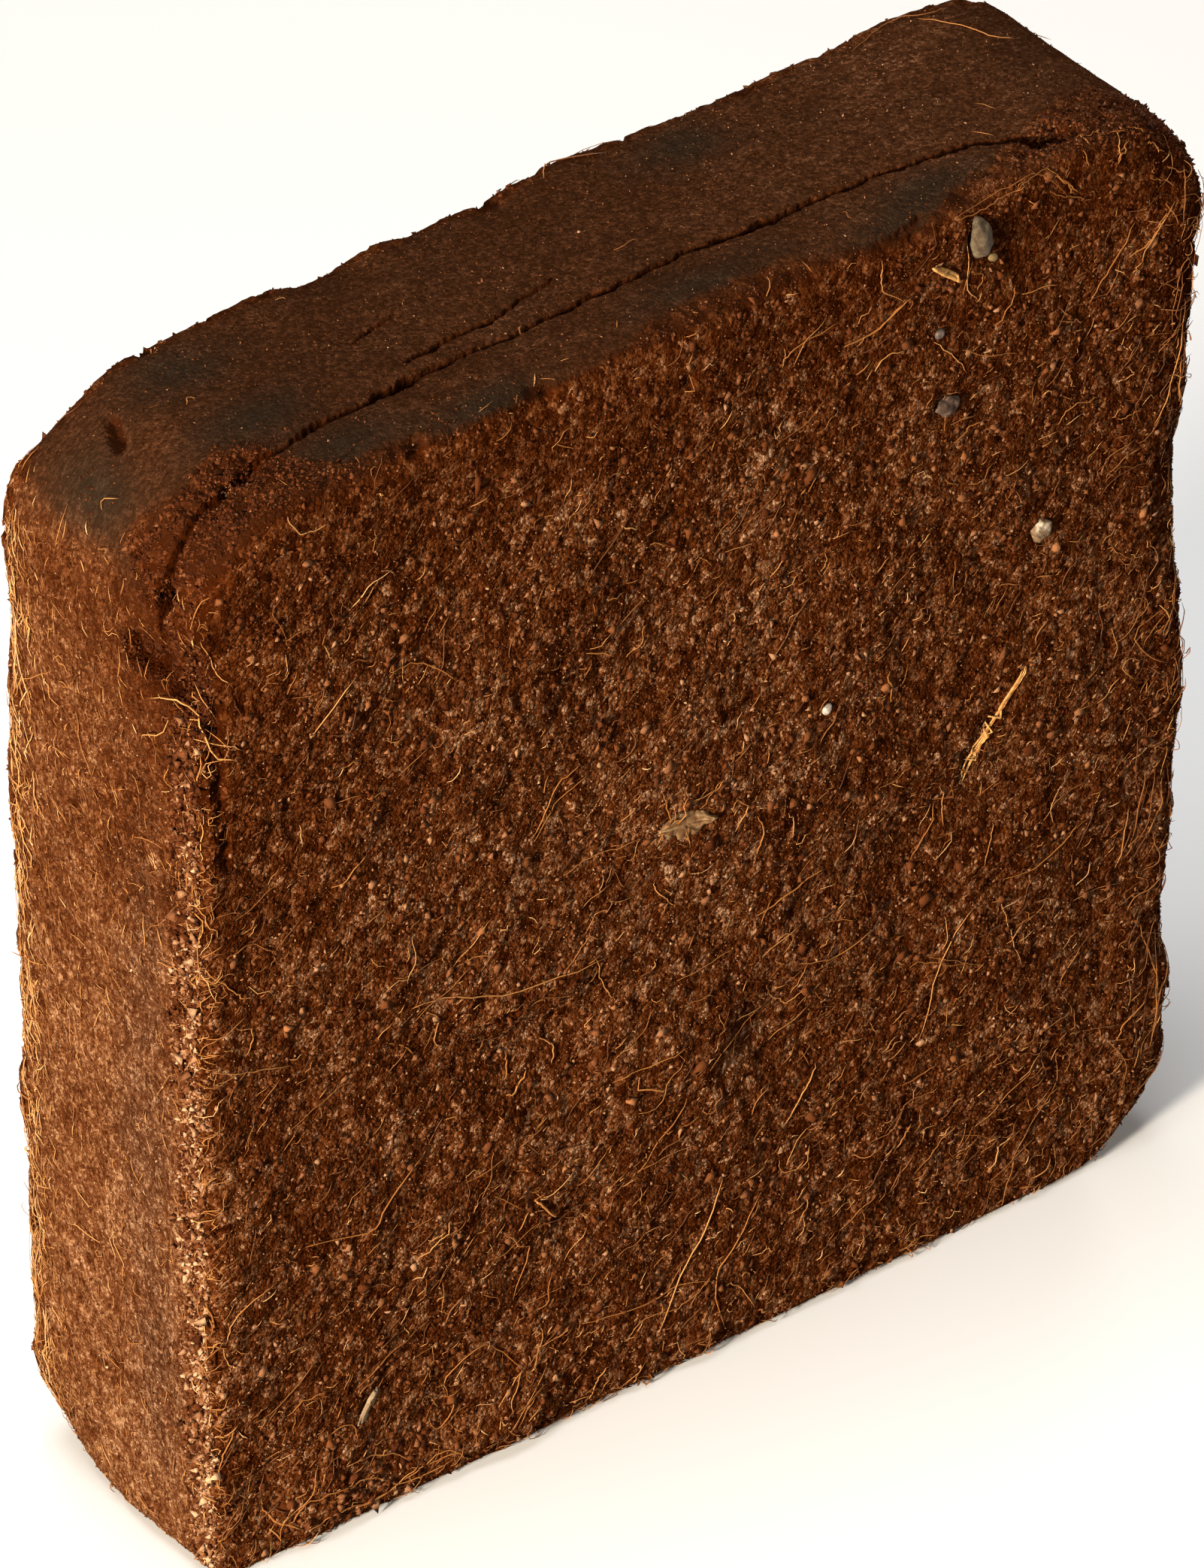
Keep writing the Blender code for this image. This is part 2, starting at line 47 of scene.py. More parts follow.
TOP_RISE = 0.022            # how much higher the right is, per metre of height and of width
SKIN_STEP = 0.0014          # spacing of the skin's points
FOOT = 0.004                # the skin grows flat from this height down to the ground
SIDE_REACH = 0.0335         # the narrow sides lie this near to the middle of the thickness
FACE_LINE = 0.0343          # the skin beyond this belongs to the front or the back face
LUMP, SMALL_LUMP = 0.0005, 0.00046     # heights of the unevenness of the torn ground
RIPPLE = 0.00016            # height of the unevenness of the smooth ground
JITTER = 0.00013            # how far each point of the crumbly skin is out of line
PIT_DEPTH = 0.0015          # of the deepest pits in the torn ground
FULL_SHADE_DEPTH = 0.0024         # a hollow this deep gets the darkest painted shade

# Each crack is a row of points: distance round the block from the middle of its top (to the
# left is negative), place across the thickness, half width and depth
CRACKS = (
    ((-0.174, -0.024, 0.0005, 0.0035), (-0.156, -0.0226, 0.0011, 0.006),
     (-0.141, -0.0215, 0.0005, 0.004), (-0.123, -0.019, 0.0012, 0.006),
     (-0.107, -0.0175, 0.0004, 0.0035), (-0.098, -0.0155, 0.0006, 0.004),
     (-0.082, -0.015, 0.0005, 0.0045), (-0.069, -0.0134, 0.0011, 0.006),
     (-0.054, -0.0134, 0.0003, 0.004), (-0.04, -0.0145, 0.0003, 0.0035),
     (-0.013, -0.0134, 0.0004, 0.004), (0.014, -0.0119, 0.0003, 0.0035),
     (0.028, -0.0134, 0.0007, 0.0045), (0.054, -0.0139, 0.0004, 0.003),
     (0.08, -0.0165, 0.0003, 0.003), (0.094, -0.0185, 0.0005, 0.0035),
     (0.108, -0.0271, 0.0013, 0.0055)),
    ((-0.067, -0.0078, 0.0001, 0.0018), (-0.054, -0.0063, 0.0004, 0.0032),
     (-0.038, -0.0063, 0.0003, 0.0022), (-0.016, -0.0018, 0.0, 0.0012)),
    ((-0.072, 0.006, 0.0, 0.001), (-0.063, 0.008, 0.0001, 0.0014),
     (-0.054, 0.01, 0.0, 0.001)),
    ((0.048, -0.0352, 0.0003, 0.002), (0.057, -0.0346, 0.0007, 0.0035),
     (0.067, -0.0334, 0.0004, 0.002)),
    ((0.176, -0.013, 0.0003, 0.0025), (0.2, -0.011, 0.0006, 0.0045),
     (0.228, -0.0121, 0.0004, 0.004), (0.252, -0.0094, 0.0007, 0.005),
     (0.29, -0.0108, 0.0003, 0.003)),
)
CRACK_REACH = 0.003         # the skin is finer this near to a crack
LIP = 0.0011                # width of the crumbly ground beside a crack

# Hollows where the edges have crumbled, each from one point to another: radius and depth
HOLLOWS = (
    ((-0.1515, -0.016, 0.26), (-0.1495, -0.035, 0.256), 0.005, 0.0048),
    ((-0.149, -0.035, 0.26), (-0.145, -0.0368, 0.248), 0.0044, 0.0032),
    ((-0.144, -0.0368, 0.24), (-0.1415, -0.0368, 0.208), 0.0018, 0.0019),
    ((-0.126, -0.0165, 0.3), (-0.121, -0.0165, 0.301), 0.0036, 0.0028),
    ((-0.149, -0.0236, 0.2815), (-0.1488, -0.0236, 0.2785), 0.003, 0.0034),
    ((-0.1345, 0.012, 0.296), (-0.131, 0.019, 0.2972), 0.0016, 0.0026),
    ((-0.088, -0.035, 0.2995), (-0.084, -0.0355, 0.2995), 0.0028, 0.0022),
    ((-0.049, -0.035, 0.3), (-0.0465, -0.035, 0.3), 0.0026, 0.0022),
    ((0.106, -0.0268, 0.3022), (0.115, -0.0285, 0.301), 0.002, 0.0028),
    ((0.044, -0.0345, 0.3035), (0.062, -0.034, 0.3035), 0.0018, 0.0016),
)

# Where the smooth ground of the narrow sides begins behind the worn front edge:
# distance round the block, place across the thickness
SMOOTH_FROM = (
    (-0.3, -0.029), (-0.165, -0.026), (-0.15, -0.006), (-0.141, -0.011), (-0.132, -0.013),
    (-0.122, -0.01), (-0.112, -0.012), (-0.108, -0.025), (-0.102, -0.032), (-0.08, -0.035),
    (-0.047, -0.037), (-0.03, -0.036), (-0.006, -0.03), (0.011, -0.032), (0.026, -0.03),
    (0.044, -0.035), (0.06, -0.036), (0.078, -0.032), (0.089, -0.03), (0.1, -0.024),
    (0.11, -0.021), (0.13, -0.017), (0.16, -0.023), (0.3, -0.027),
)
# Slate-coloured patches painted on the smooth ground for its glazed sheen, a painted reflection:
# distance round, place across, half length and breadth
PAINTED_SHEEN_PATCHES = (
    (-0.096, -0.027, 0.016, 0.008), (-0.06, -0.032, 0.018, 0.006),
    (-0.107, -0.004, 0.018, 0.01), (-0.109, 0.022, 0.016, 0.01),
    (-0.145, 0.009, 0.011, 0.017), (0.074, -0.026, 0.018, 0.007), (0.008, -0.025, 0.02, 0.007),
    (0.038, 0.024, 0.014, 0.009), (0.057, -0.033, 0.012, 0.005), (0.24, 0.012, 0.03, 0.012),
    (0.19, -0.006, 0.02, 0.009), (-0.245, -0.018, 0.045, 0.011),
    (-0.32, -0.014, 0.045, 0.012), (-0.385, -0.017, 0.035, 0.011),
)


def work_on(piece):
    """Leave edit mode, and select only this piece and make it the active one."""
    if bpy.context.object and bpy.context.object.mode != "OBJECT":
        bpy.ops.object.mode_set(mode="OBJECT")
    bpy.ops.object.select_all(action="DESELECT")
    piece.select_set(True)
    bpy.context.view_layer.objects.active = piece


def copy_of(node, name):
    """A copy of a solid of the model, with its loose triangles merged."""
    piece = bpy.data.objects.new(name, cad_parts[node].data.copy())
    bpy.context.collection.objects.link(piece)
    work_on(piece)
    bpy.ops.object.mode_set(mode="EDIT")
    bpy.ops.mesh.select_all(action="SELECT")
    bpy.ops.mesh.remove_doubles(threshold=0.00001)
    bpy.ops.object.mode_set(mode="OBJECT")
    return piece


def rows_of(items, kind):
    """Three numbers for each point or face of a mesh, such as its place."""
    flat = np.empty(len(items) * 3, np.float32)
    items.foreach_get(kind, flat)
    return flat.reshape(-1, 3)


def points_of(mesh):
    return rows_of(mesh.vertices, "co")


def normals_of(mesh):
    return rows_of(mesh.vertex_normals, "vector")


def middles_of(piece):
    """The middle of each face of a piece."""
    return rows_of(piece.data.polygons, "center")


def set_points(mesh, points):
    mesh.vertices.foreach_set("co", points.astype(np.float32).ravel())
    mesh.update()


def cloudy(points, size, seed):
    """Smooth noise from about -1 to 1 at many points."""
    shift = Vector((seed, seed * 0.37, -seed))
    return np.array([noise.noise(Vector(p) / size + shift) for p in points])


def step(low, high, value):
    """A soft step: 0 at low, 1 at high, also where high is the smaller one."""
    share = np.clip((value - low) / (high - low), 0.0, 1.0)
    return share * share * (3.0 - 2.0 * share)


def add_values(mesh, name, values):
    """Keep one number for each point in the mesh, for its material to read."""
    mesh.attributes.new(name, "FLOAT", "POINT")
    mesh.attributes[name].data.foreach_set("value", values.astype(np.float32))


def round_the_sides(points):
    """Distance round the block, height above the plain slab, and the way out of the sides."""
    height = points[:, 2] / (1.0 + TOP_RISE * points[:, 0])
    x = (points[:, 0] - MIDDLE_X) / (1.0 + LEAN * (2.0 * height / HEIGHT - 1.0))
    radius = np.where(x < 0.0, LEFT_RADIUS, RIGHT_RADIUS)
    flat = WIDTH / 2 - radius
    over = np.maximum(np.abs(x) - flat, 0.0)
    above = height - (HEIGHT - radius)
    turn = np.arctan2(over, np.maximum(above, 1e-6))
    run = np.minimum(np.abs(x), flat) + radius * turn + np.maximum(-above, 0.0)
    side = np.where(x < 0.0, -1.0, 1.0)
    out = np.stack([side * np.sin(turn), np.zeros_like(turn), np.cos(turn)], 1)
    return side * run, np.hypot(over, np.maximum(above, 0.0)) - radius, out


def behind_the_edge(points, run):
    """How far points lie behind the line where the worn front edge ends."""
    return points[:, 1] - np.interp(run, *np.array(SMOOTH_FROM).T)


def near_a_crack(places):
    """Which places of the narrow sides lie near a crack."""
    run, level, _ = round_the_sides(places)
    near = np.zeros(len(places), bool)
    for crack in CRACKS:
        starts, across, _, _ = np.array(crack).T
        beside = np.abs(places[:, 1] - np.interp(run, starts, across)) < CRACK_REACH
        near |= beside & (run > starts[0] - 0.001) & (run < starts[-1] + 0.001)
    # places farther in belong to the large faces
    return near & (level > -0.009)


def cracked(points):
    """The shift of points into the cracks, and how near they are to one, from 0 to 1."""
    run, level, out = round_the_sides(points)
    line = np.stack([run, np.zeros_like(run), np.zeros_like(run)], 1)
    stray = cloudy(line, 0.006, 31.0) * 0.0009 + cloudy(line, 0.0016, 32.0) * 0.0005
    uneven = 1.0 + cloudy(line, 0.004, 33.0)
    sink, near = np.zeros(len(points)), np.zeros(len(points))
    for crack in CRACKS:
        starts, across, half_width, depth = np.array(crack).T
        away = np.abs(points[:, 1] - np.interp(run, starts, across) - stray)
        ends = step(0.0, 0.003, run - starts[0]) * step(0.0, 0.003, starts[-1] - run)
        away -= np.interp(run, starts, half_width) * uneven
        opening = (1.0 - step(-0.0002, 0.0005, away)) * ends
        sink = np.maximum(sink, opening * np.maximum(level + np.interp(run, starts, depth), 0.0))
        near = np.maximum(near, (1.0 - step(0.0, LIP, away)) * ends)
    return -out * sink[:, None], near


def hollowed(points):
    """How deep points lie in the crumbled hollows."""
    depth = np.zeros(len(points))
    for start, end, radius, deep in HOLLOWS:
        start, along = np.array(start), np.array(end) - np.array(start)
        share = np.clip((points - start) @ along / (along @ along), 0.0, 1.0)
        away = np.linalg.norm(points - start - share[:, None] * along, axis=1)
        depth = np.maximum(depth, deep * step(1.5 * radius, 0.5 * radius, away))
    return depth * np.clip(0.75 + 1.1 * cloudy(points, 0.005, 13.0), 0.15, 1.3)


def dryness(points):
    """From 0 to 1: pith that has dried and crumbled along the left side's upright edges."""
    x, y, z = points.T
    stray = cloudy(points, 0.007, 14.0) * 0.002
    front_strip = step(0.0062, 0.0005, x + 0.1485 + stray) * step(0.255, 0.2, z)
    front_strip *= step(0.0085, 0.003, y - FRONT + stray)
    back_strip = step(-0.13, -0.14, x) * step(0.28, 0.22, z)
    back_strip *= step(0.018, 0.005, BACK - y + 2.0 * stray)
    return np.maximum(front_strip, back_strip)


def front_light_pool(points):
    """From 0 to 1: the middle of the front, painted paler as a pool of light."""
    off = ((points[:, 0] + 0.02) / 0.075) ** 2 + ((points[:, 2] - 0.16) / 0.085) ** 2
    return np.exp(-off) * (points[:, 1] < FRONT + 0.004)


def flatter_band(points):
    """From 0 to 1: the upper band of the front, which the mould pressed flatter."""
    return step(0.255, 0.29, points[:, 2]) * step(FRONT + 0.006, FRONT + 0.002, points[:, 1])


def worn_left(points):
    """From 0 to 1: the coarser ground high on the left side, below the worn corner."""
    x, y, z = points.T
    return (step(-0.13, -0.145, x) * step(0.165, 0.215, z) * step(0.285, 0.272, z)
            * step(0.024, -0.01, y))


def paleness(points, out):
    """How much paler than usual the pith is (below 0: darker), by its place and way out. Part of it
    is painted light and shade.
    """
    x, y, z = points.T
    worn_corner = step(-0.104, -0.126, x) * step(0.232, 0.262, z) * step(-0.006, -0.016, y)
    worn_corner *= step(0.97, 0.75, np.abs(out[:, 1]))
    # upward: painted shade, torn ground that faces up is made darker, most of all to the left where
    # the key light falls
    upward = step(0.3, 0.8, out[:, 2])
    high_right = step(0.128, 0.144, x) * step(0.215, 0.25, z)
    shoulder = step(-0.135, -0.146, x) * step(0.238, 0.262, z)
    # low: painted light, paler low on the upright sides and darker high on them, as the key light
    # falls
    low = step(0.1, 0.145, np.abs(x)) * (1.0 - 2.0 * step(0.06, 0.20, z))
    on_front = y < FRONT + 0.006
    # painted light and shade in the sum: the front's middle paler, its upper band darker, and the
    # upward and low terms
    return (0.14 * dryness(points) - 0.02 * on_front + 0.045 * front_light_pool(points)
            - 0.125 * worn_corner - (0.15 - 0.09 * step(0.0, 0.08, x)) * upward
            - 0.05 * flatter_band(points) + 0.025 * low - 0.045 * worn_left(points)
            - 0.13 * high_right - 0.05 * shoulder)


def pick_faces(piece, picked):
    """Go into edit mode with only these faces selected."""
    work_on(piece)
    bpy.ops.object.mode_set(mode="EDIT")
    bpy.ops.mesh.select_mode(type="FACE")
    bpy.ops.mesh.select_all(action="DESELECT")
    bpy.ops.object.mode_set(mode="OBJECT")
    piece.data.polygons.foreach_set("select", picked)
    bpy.ops.object.mode_set(mode="EDIT")


# the skin: even small faces, smoothed most on the narrow sides and divided along the cracks
block = copy_of("coir_block", "pressed_coir")
smooth_tree = BVHTree.FromObject(block, bpy.context.evaluated_depsgraph_get())
block.data.remesh_voxel_size = SKIN_STEP
bpy.ops.object.voxel_remesh()
pick_faces(block, middles_of(block)[:, 2] > FOOT)
bpy.ops.mesh.vertices_smooth(factor=0.5, repeat=6)
middles = middles_of(block)
pick_faces(block, (np.abs(middles[:, 1]) < SIDE_REACH) & (middles[:, 2] > FOOT))
bpy.ops.mesh.vertices_smooth(factor=0.5, repeat=20)
pick_faces(block, near_a_crack(middles_of(block)))
bpy.ops.mesh.subdivide(number_cuts=3)
bpy.ops.object.mode_set(mode="OBJECT")

points, ways = points_of(block.data), normals_of(block.data)
run = round_the_sides(points)[0]
patches = cloudy(points, 0.02, 1.0) * 0.5 + cloudy(points, 0.006, 2.0) * 0.5
sinking, near_crack = np.zeros_like(points), np.zeros(len(points))
fine = near_a_crack(points)
sinking[fine], near_crack[fine] = cracked(points[fine])

# pressed: 1 on the mould's smooth tracks, 0 on the torn faces and the worn edges
# upright: 1 below the rounded corners, where the smooth ground is grainier
inside = np.minimum(behind_the_edge(points, run), BACK - 0.005 - points[:, 1])
pressed = step(-0.0012, 0.0022, inside + patches * 0.0055)
upright = step(0.938, 0.893, points[:, 2] / HEIGHT + patches * 0.03)
hollow = hollowed(points)
pressed *= 1.0 - upright * np.clip(0.36 + 0.50 * patches, 0.0, 1.0)
pressed *= step(0.97, 0.60, np.abs(ways[:, 1])) * (1.0 - 0.60 * near_crack)
pressed *= step(0.0012, 0.0002, hollow)
pressed *= 1.0 - 0.6 * dryness(points)
pressed *= 1.0 - 0.55 * worn_left(points) * np.clip(0.7 + patches, 0.0, 1.0)
crumbly = 1.0 - pressed

# pits between the crumbs, shallower on the flat of the two faces
flatter = flatter_band(points)
pits = PIT_DEPTH * step(0.10, 0.60, cloudy(points, 0.0042, 12.0)) * crumbly
pits *= (1.0 - 0.78 * step(0.90, 0.985, np.abs(ways[:, 1]))) * (1.0 - 0.7 * flatter)

# torn ground that faces up is given the pressed ground's duller colour: painted shade set by which
# way it faces
pressed = np.maximum(pressed, 0.42 * step(0.3, 0.8, ways[:, 2]) * (1.0 - near_crack))

# painted_sheen: 1 in the slate-coloured patches, the painted reflection of the smooth ground's
# sheen
painted_sheen = cloudy(points, 0.013, 3.0) * 0.25
for where, across, length, breadth in PAINTED_SHEEN_PATCHES:
    off = ((run - where) / length) ** 2 + ((points[:, 1] - across) / breadth) ** 2
    painted_sheen += np.exp(-off * 1.2)
painted_sheen = np.clip(painted_sheen, 0.0, 1.0)

# shift: how much paler or darker the ground is than usual, by its mottle and place, with painted
# shade: darker in cracks, hollows and pits, and between the crumbs of the dry strips
# deep: painted shade, from 0 to 1 in the cracks, hollows and pits
deep = np.maximum(0.6 * near_crack, np.clip(hollow / FULL_SHADE_DEPTH, 0.0, 1.0))
deep = np.maximum(deep, 0.8 * np.clip(pits / PIT_DEPTH, 0.0, 1.0))
mottle = cloudy(points, 0.026, 4.0) + cloudy(points, 0.011, 8.0)
shift = paleness(points, ways) + 0.055 * mottle - 0.32 * deep - 0.16 * dryness(points)

# rim: 1 where the skin turns from a face to a narrow side
rim = 4.0 * ways[:, 1] ** 2 * (1.0 - ways[:, 1] ** 2)
lumps = cloudy(points, 0.008, 5.0) * LUMP + cloudy(points, 0.0034, 6.0) * SMALL_LUMP
lumps *= (1.0 - 0.70 * rim) * (1.0 - 0.5 * flatter)
ripple = cloudy(points, 0.003, 7.0) * (RIPPLE + RIPPLE * upright)
chance = np.random.default_rng(11)
jitter = chance.uniform(-1.0, 1.0, points.shape) * JITTER
jitter *= ((0.12 + 0.88 * crumbly) * np.where(fine, 0.40, 1.0))[:, None]
worn = (lumps * crumbly + ripple - np.maximum(hollow, pits))[:, None] * ways + jitter + sinking
worn *= step(0.0, FOOT, points[:, 2])[:, None]
points = points + worn
points[:, 2] = np.maximum(points[:, 2], 0.0)
set_points(block.data, points)
for name, values in (("pressed", pressed), ("painted_sheen", painted_sheen), ("upright", upright),
                     ("shift", shift)):
    add_values(block.data, name, values)
skin_tree = BVHTree.FromObject(block, bpy.context.evaluated_depsgraph_get())


def finish(name, roughness, gloss=0.5):
    """A new material, its node tree and its shader."""
    made = bpy.data.materials.new(name)
    made.use_nodes = True
    shader = made.node_tree.nodes["Principled BSDF"]
    shader.inputs["Roughness"].default_value = roughness
    shader.inputs["Specular IOR Level"].default_value = gloss
    return made, made.node_tree, shader


def node(tree, kind, inputs, **settings):
    """A new shader node. An input is a number, a vector or another node's socket."""
    made = tree.nodes.new("ShaderNode" + kind)
    for key, value in settings.items():
        setattr(made, key, value)
    for key, value in inputs.items():
        if isinstance(value, bpy.types.NodeSocket):
            tree.links.new(value, made.inputs[key])
        else:
            made.inputs[key].default_value = value
    return made


def value_of(tree, name):
    """The number kept under this name for each point."""
    return node(tree, "Attribute", {}, attribute_name=name).outputs["Fac"]


def shades(tree, factor, stops):
    """A colour ramp over stops of (place, red, green, blue)."""
    made = node(tree, "ValToRGB", {"Fac": factor})
    ramp = made.color_ramp
    while len(ramp.elements) < len(stops):
        ramp.elements.new(0.5)
    for element, (place, *colour) in zip(ramp.elements, stops):
        element.position = place
        element.color = (*colour, 1.0)
    return made.outputs["Color"]


def sum_of(tree, *shares):
    """Adds up (socket, share) pairs."""
    total = None
    for socket, share in shares:
        part = node(tree, "Math", {0: socket, 1: share}, operation="MULTIPLY").outputs[0]
        total = part if total is None else node(tree, "Math", {0: total, 1: part}).outputs[0]
    return total


def mixed(tree, factor, first, second):
    """One colour where the factor is 0 and the other where it is 1."""
    return node(tree, "Mix", {"Factor": factor, 6: first, 7: second}, data_type="RGBA").outputs[2]


def places_of(tree):
    """The place of each point on its piece, in metres."""
    return node(tree, "TexCoord", {}).outputs["Object"]


def shaken(tree, place, size, reach):
    """Places shaken by noise, so that cells made from them look broken."""
    shake = node(tree, "TexNoise", {"Vector": place, "Scale": 1.0 / size, "Detail": 2.0})
    centred = node(tree, "VectorMath", {0: shake.outputs["Color"], 1: (0.5, 0.5, 0.5)},
                   operation="SUBTRACT")
    scaled = node(tree, "VectorMath", {0: centred.outputs[0], "Scale": reach}, operation="SCALE")
    return node(tree, "VectorMath", {0: place, 1: scaled.outputs[0]}).outputs[0]


def clouds(tree, place, scale, detail):
    """Soft noise from 0 to 1, with scale waves to the metre."""
    return node(tree, "TexNoise", {"Vector": place, "Scale": scale, "Detail": detail}).outputs[0]


def cells(tree, place, scale, channel):
    """A tone for each cell, and the distance from its middle."""
    made = node(tree, "TexVoronoi", {"Vector": place, "Scale": scale})
    tone = node(tree, "SeparateColor", {"Color": made.outputs["Color"]}).outputs[channel]
    return tone, made.outputs["Distance"]


def squeezed(tree, place, shares):
    """Places scaled by a share for each axis. A small share draws a pattern out along it."""
    return node(tree, "VectorMath", {0: place, 1: shares}, operation="MULTIPLY").outputs[0]


def bumped(tree, shader, height, strength, distance):
    """Relief too fine for the mesh, to be seen in the light."""
    bump = node(tree, "Bump", {"Height": height, "Strength": strength, "Distance": distance})
    tree.links.new(bump.outputs["Normal"], shader.inputs["Normal"])


PITH_SHADES = (
    (0.26, 0.034, 0.007, 0.0013), (0.40, 0.068, 0.016, 0.0032), (0.54, 0.118, 0.0345, 0.009),
    (0.66, 0.225, 0.091, 0.037), (0.80, 0.49, 0.285, 0.165),
)
PRESSED_SHADES = (
    (0.30, 0.0285, 0.0098, 0.0035), (0.48, 0.049, 0.0173, 0.0067),
    (0.65, 0.086, 0.032, 0.0132), (0.80, 0.195, 0.09, 0.042),
)
SIDE_SHADES = (
    (0.30, 0.048, 0.012, 0.0032), (0.48, 0.109, 0.0345, 0.0113),
    (0.62, 0.202, 0.08, 0.03), (0.78, 0.48, 0.268, 0.135),
)
# slate shades of the painted sheen: first on the top, then on the upright sides
SHEEN_SHADES = (
    (0.30, 0.021, 0.0116, 0.0062), (0.55, 0.0305, 0.0173, 0.0096),
    (0.74, 0.05, 0.0293, 0.0165), (0.85, 0.137, 0.088, 0.054),
)
SIDE_SHEEN_SHADES = (
    (0.30, 0.036, 0.0115, 0.0044), (0.48, 0.078, 0.0295, 0.0125),
    (0.62, 0.14, 0.064, 0.032), (0.78, 0.39, 0.24, 0.145),
)

pith, tree, shader = finish("pressed_pith", 0.85, 0.0)
place = places_of(tree)
broken = shaken(tree, place, 0.001, 0.0008)
grain_tone, grain_dip = cells(tree, broken, 1150.0, 0)
dust_tone, dust_dip = cells(tree, broken, 2600.0, 1)
scrap_tone, scrap_dip = cells(tree, broken, 430.0, 2)
sliver_tone, sliver_dip = cells(tree, squeezed(tree, broken, (0.60, 1.0, 0.52)), 1400.0, 1)
layers = clouds(tree, squeezed(tree, place, (0.15, 1.0, 0.15)), 1000.0, 3.0)
clods = clouds(tree, place, 230.0, 4.0)
# the ground's shift, painted light and shade included
shift_and_painted_shade = value_of(tree, "shift")
on_upright = value_of(tree, "upright")
smoothness = value_of(tree, "pressed")
loose_tone = sum_of(tree, (grain_tone, 0.28), (dust_tone, 0.13), (scrap_tone, 0.30),
                    (clods, 0.25), (shift_and_painted_shade, 1.0))
packed_tone = sum_of(tree, (dust_tone, 0.20), (grain_tone, 0.12), (sliver_tone, 0.27),
                     (clods, 0.28), (layers, 0.18), (shift_and_painted_shade, 0.7))
loose = shades(tree, loose_tone, PITH_SHADES)
walls = mixed(tree, on_upright, shades(tree, packed_tone, PRESSED_SHADES),
              shades(tree, packed_tone, SIDE_SHADES))
# the painted sheen: slate shades that stand in for the smooth ground's reflection
sheen_colours = mixed(tree, on_upright, shades(tree, packed_tone, SHEEN_SHADES),
               shades(tree, packed_tone, SIDE_SHEEN_SHADES))
packed = mixed(tree, value_of(tree, "painted_sheen"), walls, sheen_colours)
tree.links.new(mixed(tree, smoothness, loose, packed), shader.inputs["Base Color"])
rough = node(tree, "MapRange", {"Value": smoothness, "To Min": 0.9, "To Max": 0.7})
tree.links.new(rough.outputs[0], shader.inputs["Roughness"])
relief = sum_of(tree, (grain_dip, -0.6), (dust_dip, -0.25), (scrap_dip, -0.3), (clods, 0.5),
                (sliver_dip, -0.35))
depth = node(tree, "MapRange", {"Value": smoothness, "To Min": 0.64, "To Max": 0.46})
fuller = sum_of(tree, (depth.outputs[0], 1.0), (on_upright, 0.45))
bumped(tree, shader, relief, fuller, 0.00068)
block.data.materials.clear()
block.data.materials.append(pith)


def parted(piece, name, picked):
    """Split the picked faces off into a piece of their own."""
    pick_faces(piece, picked)
    bpy.ops.mesh.separate(type="SELECTED")
    bpy.ops.object.mode_set(mode="OBJECT")
    other = [thing for thing in bpy.context.selected_objects if thing is not piece][0]
    other.name = other.data.name = name
    return other


front_face = parted(block, "front_face", middles_of(block)[:, 1] < -FACE_LINE)
back_face = parted(block, "back_face", middles_of(block)[:, 1] > FACE_LINE)
block.name = block.data.name = "narrow_sides"
for piece in (block, front_face, back_face):
    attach(piece, "root")
    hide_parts("coir_block")


# Crumbs. The pith breaks into hard angular grains of half a millimetre to two and into flat
# scraps a little larger, with a few reddish scraps of husk among them. They lie loose or half
# sunk all over the torn faces, and the narrow sides have finer ones.
def strewn(piece, count, liking, chance):
    """Random places on a piece, thicker where liking says so, and the way out at each."""
    mesh = piece.data
    mesh.calc_loop_triangles()
    corners = np.empty(len(mesh.loop_triangles) * 3, np.int32)
    mesh.loop_triangles.foreach_get("vertices", corners)
    triangles = points_of(mesh)[corners.reshape(-1, 3)]
    start, one_side, other_side = triangles.transpose(1, 0, 2)
    one_side, other_side = one_side - start, other_side - start
    across = np.cross(one_side, other_side)
    area = np.linalg.norm(across, axis=1)
    weights = area * liking(triangles.mean(1))
    picked = chance.choice(len(area), count, p=weights / weights.sum())
    a, b = chance.random((2, count, 1))
    over = a + b > 1.0
    a, b = np.where(over, 1.0 - a, a), np.where(over, 1.0 - b, b)
    places = start[picked] + a * one_side[picked] + b * other_side[picked]
    return places, (across / np.maximum(area, 1e-12)[:, None])[picked]


def unit(vectors):
    """The same ways, each of length one."""
    return vectors / np.maximum(np.linalg.norm(vectors, axis=-1, keepdims=True), 1e-9)


def lying(shapes, out, tilt, chance):
    """Turn each shape by chance, with its Z more or less along the way out of the skin."""
    upward = unit(out + chance.normal(0.0, tilt, out.shape))
    side = unit(np.cross(upward, chance.normal(size=out.shape)))
    basis = np.stack([side, np.cross(upward, side), upward], 2)
    return np.einsum("nij,nkj->nki", basis, shapes)


def joined(name, points, faces, tone, material):
    """One mesh of many copies: points is copies x points x 3, faces are those of one copy."""
    copies, each = points.shape[:2]
    sizes = [len(face) for face in faces]
    corners = np.concatenate([np.asarray(face) for face in faces])
    index = (corners[None] + np.arange(copies)[:, None] * each).ravel()
    starts = np.concatenate([[0], np.cumsum(np.tile(sizes, copies))[:-1]])
    mesh = bpy.data.meshes.new(name)
    mesh.vertices.add(copies * each)
    mesh.loops.add(index.size)
    mesh.polygons.add(len(starts))
    mesh.vertices.foreach_set("co", points.astype(np.float32).ravel())
    mesh.loops.foreach_set("vertex_index", index.astype(np.int32))
    mesh.polygons.foreach_set("loop_start", starts.astype(np.int32))
    mesh.update(calc_edges=True)
    add_values(mesh, "tone", np.repeat(tone, each))
    mesh.materials.append(material)
    made = bpy.data.objects.new(name, mesh)
    bpy.context.collection.objects.link(made)
    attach(made, "root")
    return made


